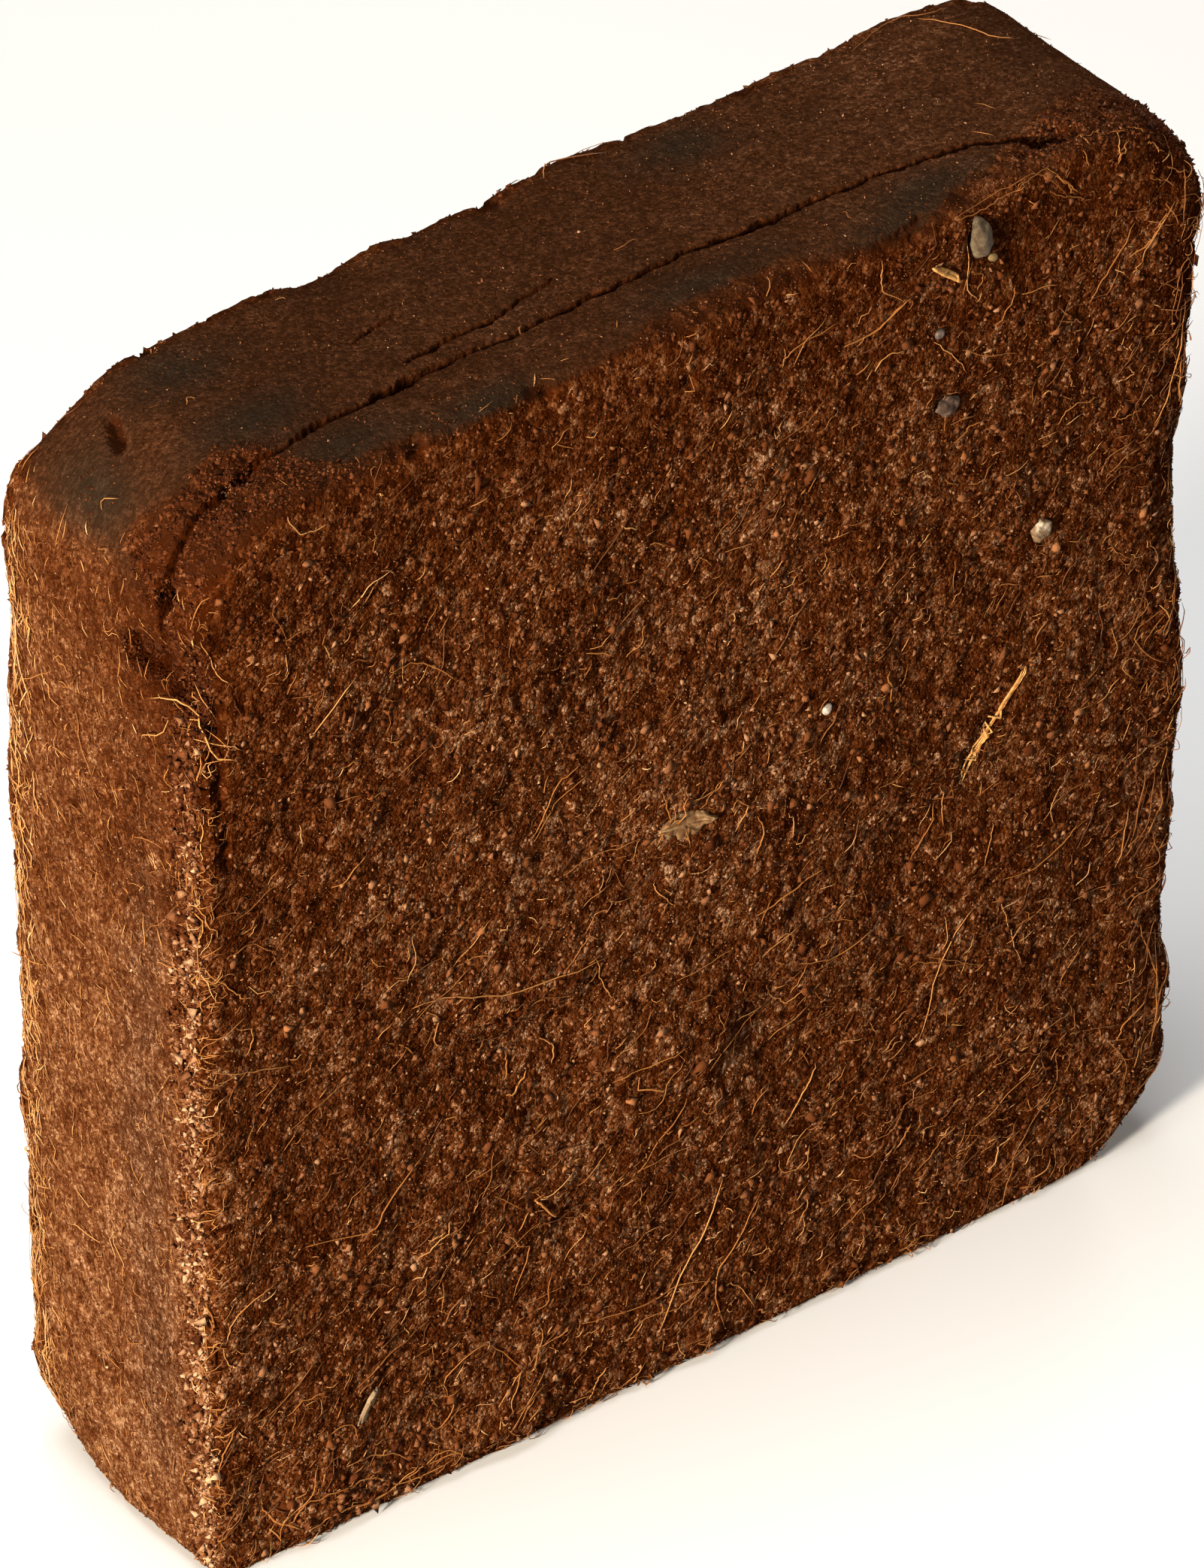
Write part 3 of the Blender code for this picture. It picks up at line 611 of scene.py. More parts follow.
def cone_form(corners):
    """Points and faces of a squat cone, for a grain's rough form."""
    bpy.ops.object.select_all(action="DESELECT")
    bpy.ops.mesh.primitive_cone_add(vertices=corners, radius1=0.55, depth=0.9)
    cone = bpy.context.object
    form = points_of(cone.data), [list(face.vertices) for face in cone.data.polygons]
    bpy.data.objects.remove(cone)
    return form


# The points and faces of each form, how it is flattened, and the palest tone that it may have
GRAIN = (*cone_form(3), (1.0, 1.0, 0.66), 1.0)
SCRAP = (*cone_form(4), (1.15, 1.0, 0.40), 0.84)
GRAIN_SHADES = (
    (0.05, 0.04, 0.0086, 0.0016), (0.30, 0.078, 0.0195, 0.0042), (0.52, 0.142, 0.043, 0.0122),
    (0.72, 0.3, 0.138, 0.064), (0.88, 0.515, 0.305, 0.17), (1.00, 0.79, 0.58, 0.36),
)
HUSK_SHADES = (
    (0.15, 0.07, 0.0205, 0.006), (0.50, 0.18, 0.059, 0.018), (0.85, 0.37, 0.155, 0.06),
)


def toned(name, stops, roughness, gloss, own, scale, detail, strength, relief, shake=True):
    """A finish along the given shades. own is the share that each grain's or strand's own tone
    has in it, and the rest is noise, which also makes the relief."""
    material, tree, shader = finish(name, roughness, gloss)
    place = places_of(tree)
    if shake:
        place = shaken(tree, place, 0.002, 0.001)
    streaks = clouds(tree, place, scale, detail)
    shade = sum_of(tree, (value_of(tree, "tone"), own), (streaks, 1.0 - own))
    tree.links.new(shades(tree, shade, stops), shader.inputs["Base Color"])
    bumped(tree, shader, streaks, strength, relief)
    return material


def crumbly(name, stops):
    """The dull, finely speckled finish of a crumb."""
    return toned(name, stops, 0.85, 0.08, 0.8, 1900.0, 3.0, 0.5, 0.0003, shake=False)


crumb = crumbly("pith_crumb", GRAIN_SHADES)
husk_crumb = crumbly("husk_crumb", HUSK_SHADES)


def crumbs(name, piece, count, liking, form, size, tone, seed, tilt=1.0, proud=0.06,
           material=crumb):
    """Grains in one mesh. size and tone are (usual, spread); a low tilt lays scraps down flat,
    and proud is the share of its size by which a grain stands out."""
    chance = np.random.default_rng(seed)
    where, out = strewn(piece, count, liking, chance)
    beside = cracked(where)[1]
    outside = beside < 0.5                  # none lies in the mouth of a crack
    where, out, beside = where[outside], out[outside], beside[outside]
    count = len(where)
    sizes = size[0] * np.exp(np.minimum(chance.normal(0.0, size[1], count), 0.7))
    points, faces, flattened, palest = form
    shape = chance.uniform(0.55, 1.25, (count, 1, 3)) * flattened
    grains = points[None] * shape + chance.uniform(-0.15, 0.15, (count, *points.shape)) * shape
    grains = lying(grains, out, tilt, chance) * sizes[:, None, None]
    grains += (where + out * (sizes * proud)[:, None])[:, None]
    grains[..., 2] = np.maximum(grains[..., 2], 0.0)
    shade = chance.normal(tone[0], tone[1], count) + cloudy(where, 0.011, 8.0) * 0.14
    # crumbs take the ground's paleness, painted light and shade included
    shade += cloudy(where, 0.0035, 9.0) * 0.18 + 1.4 * paleness(where, out)
    # painted shade: crumbs beside a crack or down in a hollow are darker
    shade -= 0.9 * beside + 0.25 * np.clip(hollowed(where) / FULL_SHADE_DEPTH, 0.0, 1.0)
    shade = tone[0] + (shade - tone[0]) * (1.0 - 0.5 * flatter_band(where))
    made = joined(name, grains, faces, np.clip(shade, 0.0, palest), material)


# How well crumbs like each place c of the skin. The millionth leaves every place a chance.
def everywhere(c):
    return np.ones(len(c))


def torn(c, reach):
    """From 0 to 1: the torn ground before the worn edge's line, gone by reach behind it."""
    return 1.0 - step(-0.001, reach, behind_the_edge(c, round_the_sides(c)[0]))


def worn_sides(c):
    """The narrow sides, most of all their edges, torn ground and grainy upright stretches."""
    edge = 1.0 - step(0.0, 0.01, np.minimum(c[:, 1] - FRONT, BACK - c[:, 1]))
    upright = step(0.10, 0.145, np.abs(c[:, 0])) * step(0.985, 0.90, c[:, 2] / HEIGHT)
    return 0.03 + 0.7 * edge + 1.2 * torn(c, 0.002) + 0.6 * upright + 0.8 * worn_left(c)


def front_left_edge(c):
    """The dry upright edge between the front and the left side."""
    near_edge = step(0.012, 0.004, c[:, 1] - FRONT) * step(-0.14, -0.1475, c[:, 0])
    return near_edge * step(0.268, 0.235, c[:, 2]) + 1e-6


def torn_corner(c):
    """The top left of the narrow sides, where the front edge has broken away."""
    broken_off = np.maximum(torn(c, 0.003), 1.5 * step(0.0003, 0.001, hollowed(c)))
    return broken_off * step(-0.085, -0.115, c[:, 0]) * step(0.225, 0.25, c[:, 2]) + 1e-6


def torn_right(c):
    """The torn end of the front's top edge, at the right."""
    return torn(c, 0.003) * step(0.085, 0.115, c[:, 0]) * step(0.25, 0.27, c[:, 2]) + 1e-6


def husky(c):
    """Red scraps of husk lie thickest in the upper right of the front."""
    return 0.35 + step(0.02, 0.10, c[:, 0]) * step(0.13, 0.22, c[:, 2])


def speckled(c):
    """All of the front, most of all its middle, which is painted paler as a pool of light."""
    return 0.45 + front_light_pool(c)


def low_left(c):
    """The jumble of scraps at the foot of the front, to the left."""
    off = ((c[:, 0] + 0.106) / 0.02) ** 2 + ((c[:, 2] - 0.009) / 0.008) ** 2
    return np.exp(-off) * (c[:, 2] > 0.003) + 1e-6


def pressed_top(c):
    """The top, most of all its torn front edge at the right."""
    more = 4.0 * torn(c, 0.002) * (c[:, 0] > 0.08)
    return step(0.28, 0.295, c[:, 2]) * (1.0 + more) + 1e-6


crumbs("front_grains", front_face, 28000, everywhere, GRAIN, (0.0007, 0.36), (0.40, 0.22), 21)
crumbs("front_scraps", front_face, 6500, everywhere, SCRAP, (0.0013, 0.42), (0.45, 0.26), 24,
       tilt=0.32)
crumbs("front_flakes", front_face, 420, everywhere, SCRAP, (0.0023, 0.35), (0.48, 0.15), 29,
       tilt=0.30)
crumbs("husk_scraps", front_face, 230, husky, SCRAP, (0.0021, 0.32), (0.50, 0.20), 44,
       tilt=0.34, proud=0.12, material=husk_crumb)
crumbs("right_corner_grains", block, 1700, torn_right, GRAIN, (0.0012, 0.42), (0.35, 0.19), 45)
crumbs("foot_scraps", front_face, 110, low_left, SCRAP, (0.0022, 0.35), (0.45, 0.22), 43,
       tilt=0.40, proud=0.10)
crumbs("pale_specks", front_face, 6000, speckled, GRAIN, (0.00048, 0.28), (0.77, 0.11), 26)
crumbs("top_grains", block, 4400, pressed_top, GRAIN, (0.00048, 0.38), (0.58, 0.20), 30)
crumbs("side_specks", block, 1500, worn_sides, GRAIN, (0.00044, 0.30), (0.82, 0.10), 27)
crumbs("corner_grains", block, 3200, torn_corner, GRAIN, (0.0011, 0.40), (0.54, 0.17), 28)
crumbs("back_grains", back_face, 9000, everywhere, GRAIN, (0.00105, 0.36), (0.42, 0.15), 22)
crumbs("side_grains", block, 22000, worn_sides, GRAIN, (0.00066, 0.32), (0.41, 0.24), 23)
crumbs("edge_grains", block, 6500, front_left_edge, GRAIN, (0.001, 0.40), (0.46, 0.27), 25)
crumbs("edge_lumps", block, 1100, front_left_edge, GRAIN, (0.0018, 0.35), (0.52, 0.28), 40,
       proud=0.24)


# Coir fibres. Short lengths of the husk's fibre lie all through the pith: stiff hairs two to
# six tenths of a millimetre thick, half sunk along the skin, with loops and ends that stand out.
LOOK_FROM, LOOK_DEPTH = 0.006, 0.01    # the skin is looked for from here outside, this far in
LOWEST = 0.0005             # no fibre's middle lies nearer to the ground


def over_skin(place):
    """The smooth block's nearest place, the way out there, and the height of the skin on it."""
    spot, out, _, _ = smooth_tree.find_nearest(place)
    hit, _, _, away = skin_tree.ray_cast(spot + out * LOOK_FROM, -out)
    rise = LOOK_FROM - away if hit and away < LOOK_DEPTH else 0.0
    return spot, out, rise


def laid(tracks, lifts):
    """Lay tracks (strands x points x 3) on the skin, lifted off it by lifts (strands x points)."""
    spots, outs, rises = np.empty_like(tracks), np.empty_like(tracks), np.empty(tracks.shape[:2])
    for i, track in enumerate(tracks):
        for j, place in enumerate(track):
            spots[i, j], outs[i, j], rises[i, j] = over_skin(Vector(place))
    # a stiff strand bridges the hollows between the lumps that it lies on
    padded = np.pad(rises, ((0, 0), (1, 1)), mode="edge")
    bridged = np.maximum(rises, (padded[:, :-2] + padded[:, 2:]) / 2)
    lying_tracks = spots + outs * (bridged + lifts)[..., None]
    lying_tracks[..., 2] = np.maximum(lying_tracks[..., 2], LOWEST)
    return lying_tracks, outs


def strands(name, tracks, outs, widths, tone, material, sides=3, taper=0.75):
    """Thin tubes along the tracks, joined in one mesh. Their ends are thinner by taper."""
    count, length = tracks.shape[:2]
    along = unit(np.gradient(tracks, axis=1))
    across = unit(np.cross(along, outs))
    up = np.cross(across, along)
    share = np.linspace(-1.0, 1.0, length)
    girth = widths[:, None] / 2 * (1.0 - taper * np.abs(share[None]) ** 4.0)
    rings = []
    for side in range(sides):
        turn = 2.0 * np.pi * side / sides + 0.5
        rings.append(tracks + girth[..., None] * (np.cos(turn) * across + np.sin(turn) * up))
    points = np.stack(rings, 2).reshape(count, length * sides, 3)
    points[..., 2] = np.maximum(points[..., 2], 0.0)
    faces = []
    for ring in range(length - 1):
        for side in range(sides):
            a, b = ring * sides + side, ring * sides + (side + 1) % sides
            faces.append([a, a + sides, b + sides, b])
    faces.append(list(range(sides)))
    faces.append([length * sides - 1 - side for side in range(sides)])
    return joined(name, points, faces, tone, material)


def wandering(where, out, heading, lengths, curl, count, chance):
    """Tracks centred on places on the skin, which wander over it with a changing heading."""
    first = unit(np.cross(out, heading))
    second = np.cross(first, out)
    # most lie nearly straight, a few curl up
    curl = curl * (0.35 + 1.6 * chance.random((len(where), 1)) ** 3)
    bend = chance.normal(0.0, 1.0, (len(where), 4)) * curl
    share = np.linspace(-0.5, 0.5, count)[None]
    turn = (bend[:, :1] * share * 2.6 + bend[:, 1:2] * np.sin(share * 6.0)
            + bend[:, 2:3] * np.cos(share * 10.0) * 0.7 + bend[:, 3:] * np.sin(share * 19.0) * 0.35)
    stride = lengths[:, None] / (count - 1)
    ahead = np.cumsum(np.cos(turn) * stride, 1)
    aside = np.cumsum(np.sin(turn) * stride, 1)
    ahead -= ahead.mean(1)[:, None]
    aside -= aside.mean(1)[:, None]
    return where[:, None] + ahead[..., None] * second[:, None] + aside[..., None] * first[:, None]


fibre = toned("coir_fibre", (
    (0.00, 0.06, 0.016, 0.0034), (0.35, 0.19, 0.062, 0.013), (0.62, 0.43, 0.17, 0.04),
    (0.85, 0.67, 0.34, 0.115), (1.00, 0.86, 0.59, 0.32),
), 0.6, 0.2, 0.8, 700.0, 3.0, 0.4, 0.0002)


def hairs(name, piece, count, points, liking, leaning, length, width, curl, lift, tone, seed):
    """Random strands. leaning is (way, spread), and length to tone are (usual, spread), but
    curl is one number. points is how many each strand has."""
    chance = np.random.default_rng(seed)
    where, _ = strewn(piece, count, liking, chance)
    out = np.array([smooth_tree.find_nearest(Vector(p))[1] for p in where])
    heading = np.asarray(leaning[0]) + chance.normal(0.0, leaning[1], (count, 3))
    lengths, widths = (usual * np.exp(chance.normal(0.0, spread, count))
                       for usual, spread in (length, width))
    tracks = wandering(where, out, heading, lengths, curl, points, chance)
    share = np.linspace(-1.0, 1.0, points)[None]
    arch = chance.normal(lift[0], lift[1], (count, 1)) * (1.0 - share ** 2)
    tilt = np.abs(chance.normal(0.0, lift[1], (count, 1))) * share
    lifts = widths[:, None] * 0.2 + arch + np.maximum(tilt, -0.0005)
    tracks, outs = laid(tracks, lifts)
    shade = np.clip(chance.normal(tone[0], tone[1], count) + 0.22 * dryness(where), 0.0, 1.0)
    made = strands(name, tracks, outs, widths, shade, fibre)


# How well fibres like each place c of the skin.
def front_liking(c):
    """Gathered here and there on the front, and toward its foot and its sides."""
    low = step(0.12, 0.02, c[:, 2])
    right = step(0.09, 0.145, c[:, 0])
    left = step(-0.135, -0.15, c[:, 0])
    gathered = np.clip(cloudy(c, 0.03, 41.0) + 0.25, 0.0, 1.0)
    usual = 0.30 + 0.8 * gathered + 0.8 * low + 0.6 * right + 0.5 * left
    return usual * (1.0 - 0.6 * flatter_band(c))


def right_edge(c):
    """The upright edge between the front and the right side."""
    high = step(0.235, 0.275, c[:, 2])
    return step(0.122, 0.142, c[:, 0]) * step(0.015, 0.045, c[:, 2]) * (1.0 - 0.7 * high) + 1e-6


def side_liking(c):
    """The upright sides, most of all near the front and the back."""
    upright = step(0.10, 0.145, np.abs(c[:, 0])) * step(0.955, 0.87, c[:, 2] / HEIGHT)
    near_back = step(0.026, 0.0, BACK - c[:, 1])
    near_front = step(0.01, 0.0, c[:, 1] - FRONT)
    return 0.002 + upright * (0.30 + 2.2 * near_back + 1.1 * near_front) + 0.08 * near_front


def back_left_edge(c):
    """The dry upright edge between the back and the left side."""
    near_edge = step(0.015, 0.004, BACK - c[:, 1]) * step(-0.138, -0.146, c[:, 0])
    return near_edge * step(0.285, 0.262, c[:, 2]) * step(0.0, 0.012, c[:, 2]) + 1e-6


def rims(c):
    """The upright edges and the lower front edge, where loose ends stand out."""
    upright = step(0.142, 0.149, np.abs(c[:, 0])) * step(0.0, 0.03, c[:, 2])
    return upright + 0.2 * step(0.012, 0.002, c[:, 2]) + 0.05 * step(0.296, 0.3, c[:, 2]) + 1e-6


hairs("front_short_fibres", front_face, 2300, 5, front_liking, ((0.8, 0, 0.55), 0.60),
      (0.0042, 0.45), (0.00024, 0.25), 0.50, (0.0001, 0.0003), (0.56, 0.26), 31)
hairs("front_fibres", front_face, 430, 10, front_liking, ((0.8, 0, 0.55), 0.50),
      (0.0115, 0.42), (0.00027, 0.25), 0.42, (0.0001, 0.0004), (0.44, 0.23), 32)
hairs("right_edge_fibres", front_face, 70, 10, right_edge, ((0.15, 0, 1.0), 0.25),
      (0.014, 0.40), (0.0003, 0.25), 0.40, (0.0002, 0.0005), (0.42, 0.20), 35)
hairs("back_fibres", back_face, 850, 5, everywhere, ((1, 0, 0.3), 0.7),
      (0.008, 0.50), (0.0003, 0.25), 0.50, (0.0001, 0.0004), (0.46, 0.22), 33)
hairs("side_fibres", block, 3700, 4, side_liking, ((0, 0.1, 1), 0.26),
      (0.0042, 0.50), (0.00023, 0.28), 0.28, (0.0, 0.0003), (0.56, 0.27), 34)
hairs("edge_curls", block, 70, 7, front_left_edge, ((0.2, 0.3, 0.8), 0.8),
      (0.0038, 0.40), (0.00023, 0.25), 0.85, (0.0003, 0.0005), (0.54, 0.20), 39)
hairs("back_edge_fibres", block, 340, 6, back_left_edge, ((0, 0.02, 1), 0.15),
      (0.008, 0.45), (0.00027, 0.28), 0.35, (0.0001, 0.0004), (0.77, 0.26), 42)
hairs("front_wisps", front_face, 260, 7, rims, ((0.3, 0, 0.8), 0.8),
      (0.007, 0.45), (0.00025, 0.25), 0.80, (0.0008, 0.0009), (0.48, 0.20), 36)
hairs("side_wisps", block, 320, 7, rims, ((0.1, 0.4, 0.8), 0.8),
      (0.006, 0.45), (0.00024, 0.25), 0.80, (0.0005, 0.0007), (0.52, 0.20), 37)

# The longest and brightest fibres, each with its thickness in steps of FIBRE_STEP, its paleness,
# and the points in millimetres that it runs through: x and z on the front, and x, y and z where
# it goes over an edge or lies on a narrow side. The last ones lie in the front's middle and foot.
FIBRE_STEP = 0.000062       # thickness of one step
TRACK_POINTS = 14
FACE_FIBRES = (
    (6, 0.80, -88, 144, -80, 142, -70, 139, -58, 135, -44, 134, -30, 132),
    (4, 0.70, -44, 135, -40, 137, -35, 140, -32, 139), (5, 0.70, -43, 161, -34, 163, -21, 163),
    (5, 0.65, -29, 96, -20, 96, -8, 97), (8, 0.80, -61, 104, -57, 105, -53, 109),
    (5, 0.90, -34, 133, -32, 126, -28, 119), (5, 0.80, -84, 140, -80, 136, -81, 131, -79, 127),
    (6, 0.80, -49, 117, -46, 113, -46, 108), (5, 0.75, -60, 116, -59, 110),
    (5, 0.90, -17, 148, -14, 143, -10, 139), (5, 0.75, -94, 243, -84, 240, -75, 231),
    (5, 0.90, -122, 297, -121, 293, -117, 291, -112, 291), (5, 0.70, -53, 177, -46, 186, -38, 191),
    (4, 0.65, -51, 175, -45, 183, -36, 188), (8, 0.72, 41, 276, 50, 277, 60, 283),
    (5, 0.45, 73, 298, 83, 298, 92, 300), (7, 0.62, 102, 300, 106, 296, 111, 291),
    (5, 0.50, 103, 294, 109, 290, 116, 286), (5, 0.75, 51, 296, 51, 289, 57, 282),
    (5, 0.95, 68, 266, 72, 262, 77, 254), (5, 0.95, 50, 265, 53, 268, 58, 268),
    (5, 0.60, 22, 278, 26, 282, 39, 283), (5, 0.75, 93, 271, 98, 269, 104, 268),
    (5, 0.60, 115, 260, 120, 267, 128, 275), (7, 0.62, 126, 267, 133, 270, 140, 277),
    (7, 0.45, 122, 293, 124, 297, 127, 300), (4, 0.60, 86, 264, 88, 268, 92, 273),
    (4, 0.55, 78, 283, 81, 280, 80, 276), (7, 0.55, 106, 257, 113, 254),
    (5, 0.80, 136, 214, 141, 222, 144, 233, 145, 247), (5, 0.70, 106, 228, 110, 231, 117, 230),
    (5, 0.75, 124, 220, 128, 220, 132, 222), (5, 0.65, 109, 241, 110, 235),
    (5, 0.60, 73, 235, 78, 238, 84, 239), (4, 0.60, 137, 256, 141, 252, 142, 257, 145, 260),
    (6, 0.60, 14, 125, 25, 127, 36, 129), (5, 0.88, 82, 98, 76, 91, 72, 84, 69, 73, 65, 65),
    (4, 0.85, 91, 96, 93, 86, 96, 74), (5, 0.62, 27, 104, 40, 102, 53, 104),
    (4, 0.62, -2, 88, 8, 92, 19, 98), (5, 0.90, 19, 101, 23, 96, 25, 94, 30, 94),
    (6, 0.85, 33, 72, 30, 66, 25, 57), (4, 0.75, 23, 48, 24, 44, 30, 43, 32, 48),
    (6, 0.95, 97, 23, 93, 19, 89, 13), (4, 0.62, 78, 34, 72, 30, 66, 25),
    (7, 0.70, 62, 40, 60, 38, 58, 35), (4, 0.75, 88, 119, 85, 108),
    (5, 0.55, 91, 102, 102, 101, 110, 104, 114, 108), (5, 0.92, 71, 137, 73, 131, 74, 124),
    (5, 0.60, 72, 130, 68, 125, 63, 118), (4, 0.60, 68, 88, 77, 83, 86, 78),
    (6, 0.75, 141, 108, 140, 100, 137, 94), (6, 0.70, 135, 68, 139, 57, 141, 46, 140, 35),
    (6, 0.68, 127, 37, 131, 41, 137, 45), (5, 0.80, -145, 70, -142, 77, -128, 82),
    (5, 0.80, -145, 71, -144, 65, -140, 62), (6, 0.65, -85, 99, -95, 91, -102, 85, -120, 88),
    (5, 0.95, -78, 77, -80, 73, -87, 70), (5, 0.92, -84, 74, -80, 74),
    (5, 0.75, -60, 63, -56, 59, -54, 56, -58, 44), (11, 0.78, -53, 72, -50, 68, -45, 62),
    (6, 0.85, 5, 51, 0, 40, -7, 28, -16, 14), (6, 0.65, 17, 41, 9, 30, 2, 21, 3, 7),
    (5, 0.70, 3, 21, -5, 24, -13, 25, -26, 26, -38, 27), (5, 0.72, 5, 20, 10, 16, 14, 8),
    (5, 0.62, 2, 25, -6, 20, -12, 19, -20, 22), (5, 0.72, -41, 29, -46, 27, -53, 27),
    (5, 0.90, -31, 12, -34, 9, -36, 4), (5, 0.68, -78, 24, -78, 30, -68, 34, -62, 30, -57, 21),
    (5, 0.75, -84, 20, -82, 16, -78, 19, -75, 24), (5, 0.70, -127, 41, -121, 43, -115, 43),
    (5, 0.68, -94, 7, -87, 8, -81, 9, -75, 6), (5, 0.72, -109, 7, -100, 6, -93, 7, -88, 9),
    (5, 0.70, 34, 34, 30, 31, 27, 27), (6, 0.70, -146, 28, -145, 36, -142, 46),
)
EDGE_FIBRES = (
    (7, 0.98, -152, -22, 251, -152, -31, 255, -149, -36, 249, -144, -37, 240, -139, -37, 237),
    (6, 0.95, -151, -33, 250, -149, -36, 248, -145, -37, 240),
    (5, 0.85, -151, -32, 246, -149, -35, 245, -140, -37, 241, -137, -37, 238),
    (5, 0.80, -147, -36, 271, -143, -37, 262, -139, -37, 258),
    (10, 0.95, -152, 27, 241, -152, 24, 249),
    (5, 0.75, -151, 31, 221, -151, 29, 228, -151, 17, 238),
    (4, 0.72, -151, 8, 231, -151, 6, 224, -151, 2, 216), (7, 0.85, -151, 33, 199, -151, 29, 194),
    (5, 0.90, -151, 25, 205, -151, 23, 193),
    (5, 0.80, -151, 17, 202, -151, 15, 201, -151, 11, 197),
    (5, 0.92, -150, 36, 178, -151, 33, 177, -150, 36, 170),
    (5, 0.92, -148, -36, 222, -148, -36, 210),
    (6, 0.92, -150, -33, 198, -148, -36, 194, -150, -34, 187),
    (5, 0.80, -148, -35, 182, -140, -37, 171, -135, -37, 167),
    (5, 0.88, -149, -35, 198, -144, -37, 189),
    (4, 0.64, 116, 31, 303, 120, 26, 303, 124, 19, 303, 126, 14, 302, 130, 11, 302),
    (4, 0.50, 96, 29, 303, 104, 32, 303, 110, 33, 303, 118, 31, 303, 124, 30, 303),
    (4, 0.55, 72, -36, 299, 84, -36, 300, 91, -35, 300, 100, -36, 300, 110, -37, 288),
    (4, 0.50, 89, -36, 299, 98, -35, 300, 103, -36, 300),
    (5, 0.70, 103, -36, 300, 106, -37, 296, 110, -37, 291),
    (4, 0.70, -142, -37, 181, -137, -37, 182, -131, -37, 180, -126, -37, 176),
    (5, 0.75, -146, -36, 151, -134, -37, 146, -123, -37, 142),
    (4, 0.80, -140, -37, 161, -136, -37, 159, -135, -37, 155, -137, -37, 152),
    (5, 0.70, 127, -33, 301, 124, -36, 299, 122, -37, 295),
    (4, 0.62, 117, -31, 303, 122, -33, 302, 128, -34, 301),
    (5, 0.66, 113, -29, 303, 115, -30, 303, 116, -32, 303, 117, -34, 302),
    (5, 0.72, 133, -36, 296, 135, -37, 295, 138, -37, 292),
    (4, 0.66, 130, -33, 301, 131, -34, 300, 132, -35, 299),
    (4, 0.66, 142, -37, 277, 147, -36, 275, 149, -35, 273, 149, -35, 267, 147, -36, 267),
    (5, 0.70, 138, -37, 288, 141, -37, 285, 146, -36, 282),
    (4, 0.62, 132, -37, 287, 135, -37, 285, 138, -37, 283, 141, -37, 281),
    (4, 0.70, 133, -37, 272, 136, -37, 274, 139, -37, 276),
)
MORE_FIBRES = (
    (5, 0.82, -16, 159, -11, 164, -7, 170), (5, 0.70, -15, 160, -13, 166, -13, 172),
    (5, 0.72, -7, 168, -1, 168, 4, 169), (4, 0.66, -4, 164, 1, 167, 4, 169),
    (5, 0.80, 7, 153, 10, 157, 12, 159), (6, 0.72, 15, 154, 15, 148, 14, 143),
    (5, 0.85, 23, 151, 25, 147, 26, 143), (4, 0.60, 62, 87, 68, 87, 84, 79),
    (6, 0.62, -127, 9, -120, 14, -109, 14), (6, 0.72, -114, 12, -103, 13, -94, 6, -78, 6),
    (5, 0.66, -123, 6, -112, 7, -96, 6), (6, 0.70, -110, 20, -101, 18, -91, 11),
    (5, 0.62, -86, 7, -76, 7, -72, 6),
)


def smooth_track(corners):
    """A smooth line through the corners, as TRACK_POINTS places."""
    padded = np.vstack([2 * corners[0] - corners[1], corners, 2 * corners[-1] - corners[-2]])
    places = np.linspace(0.0, len(corners) - 1.0 - 1e-9, TRACK_POINTS)
    part = places.astype(int)
    share = (places - part)[:, None]
    a, b, c, d = (padded[part + i] for i in range(4))
    return 0.5 * (2 * b + (c - a) * share + (2 * a - 5 * b + 4 * c - d) * share ** 2
                  + (3 * b - a - 3 * c + d) * share ** 3)


chance = np.random.default_rng(38)
tracks, widths, brightness = [], [], []
for fibres, axes in ((FACE_FIBRES, 2), (EDGE_FIBRES, 3), (MORE_FIBRES, 2)):
    for steps, pale, *numbers in fibres:
        corners = np.reshape(numbers, (-1, axes)).astype(float)
        if axes == 2:
            corners = np.insert(corners, 1, FRONT * 1000.0, axis=1)
        tracks.append(smooth_track(corners))
        widths.append(steps)
        brightness.append(pale)
tracks = np.array(tracks) / 1000.0
waver = np.cumsum(chance.normal(0.0, 0.00028, tracks.shape), 1)
tracks += waver - waver.mean(1)[:, None]
widths = np.array(widths) * FIBRE_STEP
brightness = np.array(brightness) * chance.uniform(0.78, 1.03, len(brightness))
lifts = widths[:, None] * 0.45 + np.abs(chance.normal(0.0, 0.00025, (len(tracks), 1)))
tracks, outs = laid(tracks, np.repeat(lifts, TRACK_POINTS, 1))
long_fibres = strands("long_fibres", tracks, outs, widths, brightness, fibre, 4)


# Stones in the pith: a cloudy quartz pebble with a bead of amber grit under it, two grey
# pebbles, a white chip and a pale, squarish chip of shell. All were picked up with the husks and
# are held by the pith pressed round them.
def stone(node_name, rounds, knobs, material, kind="CATMULL_CLARK"):
    """A finer copy of one of the model's stones, in its place. knobs are (size, height) of its
    unevenness, and rounds is how often its faces are divided."""
    piece = copy_of(node_name, node_name + "_form")
    rounding = piece.modifiers.new("rounding", "SUBSURF")
    rounding.subdivision_type = kind
    rounding.levels = rounding.render_levels = rounds
    bpy.ops.object.modifier_apply(modifier="rounding")
    points, ways = points_of(piece.data), normals_of(piece.data)
    rise = sum(cloudy(points, size, 51.0 + size * 1000) * height for size, height in knobs)
    set_points(piece.data, points + ways * (rise + 0.0002)[:, None])
    bpy.ops.object.shade_smooth()
    piece.data.materials.clear()
    piece.data.materials.append(material)
    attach(piece, "root")
    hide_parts(node_name)


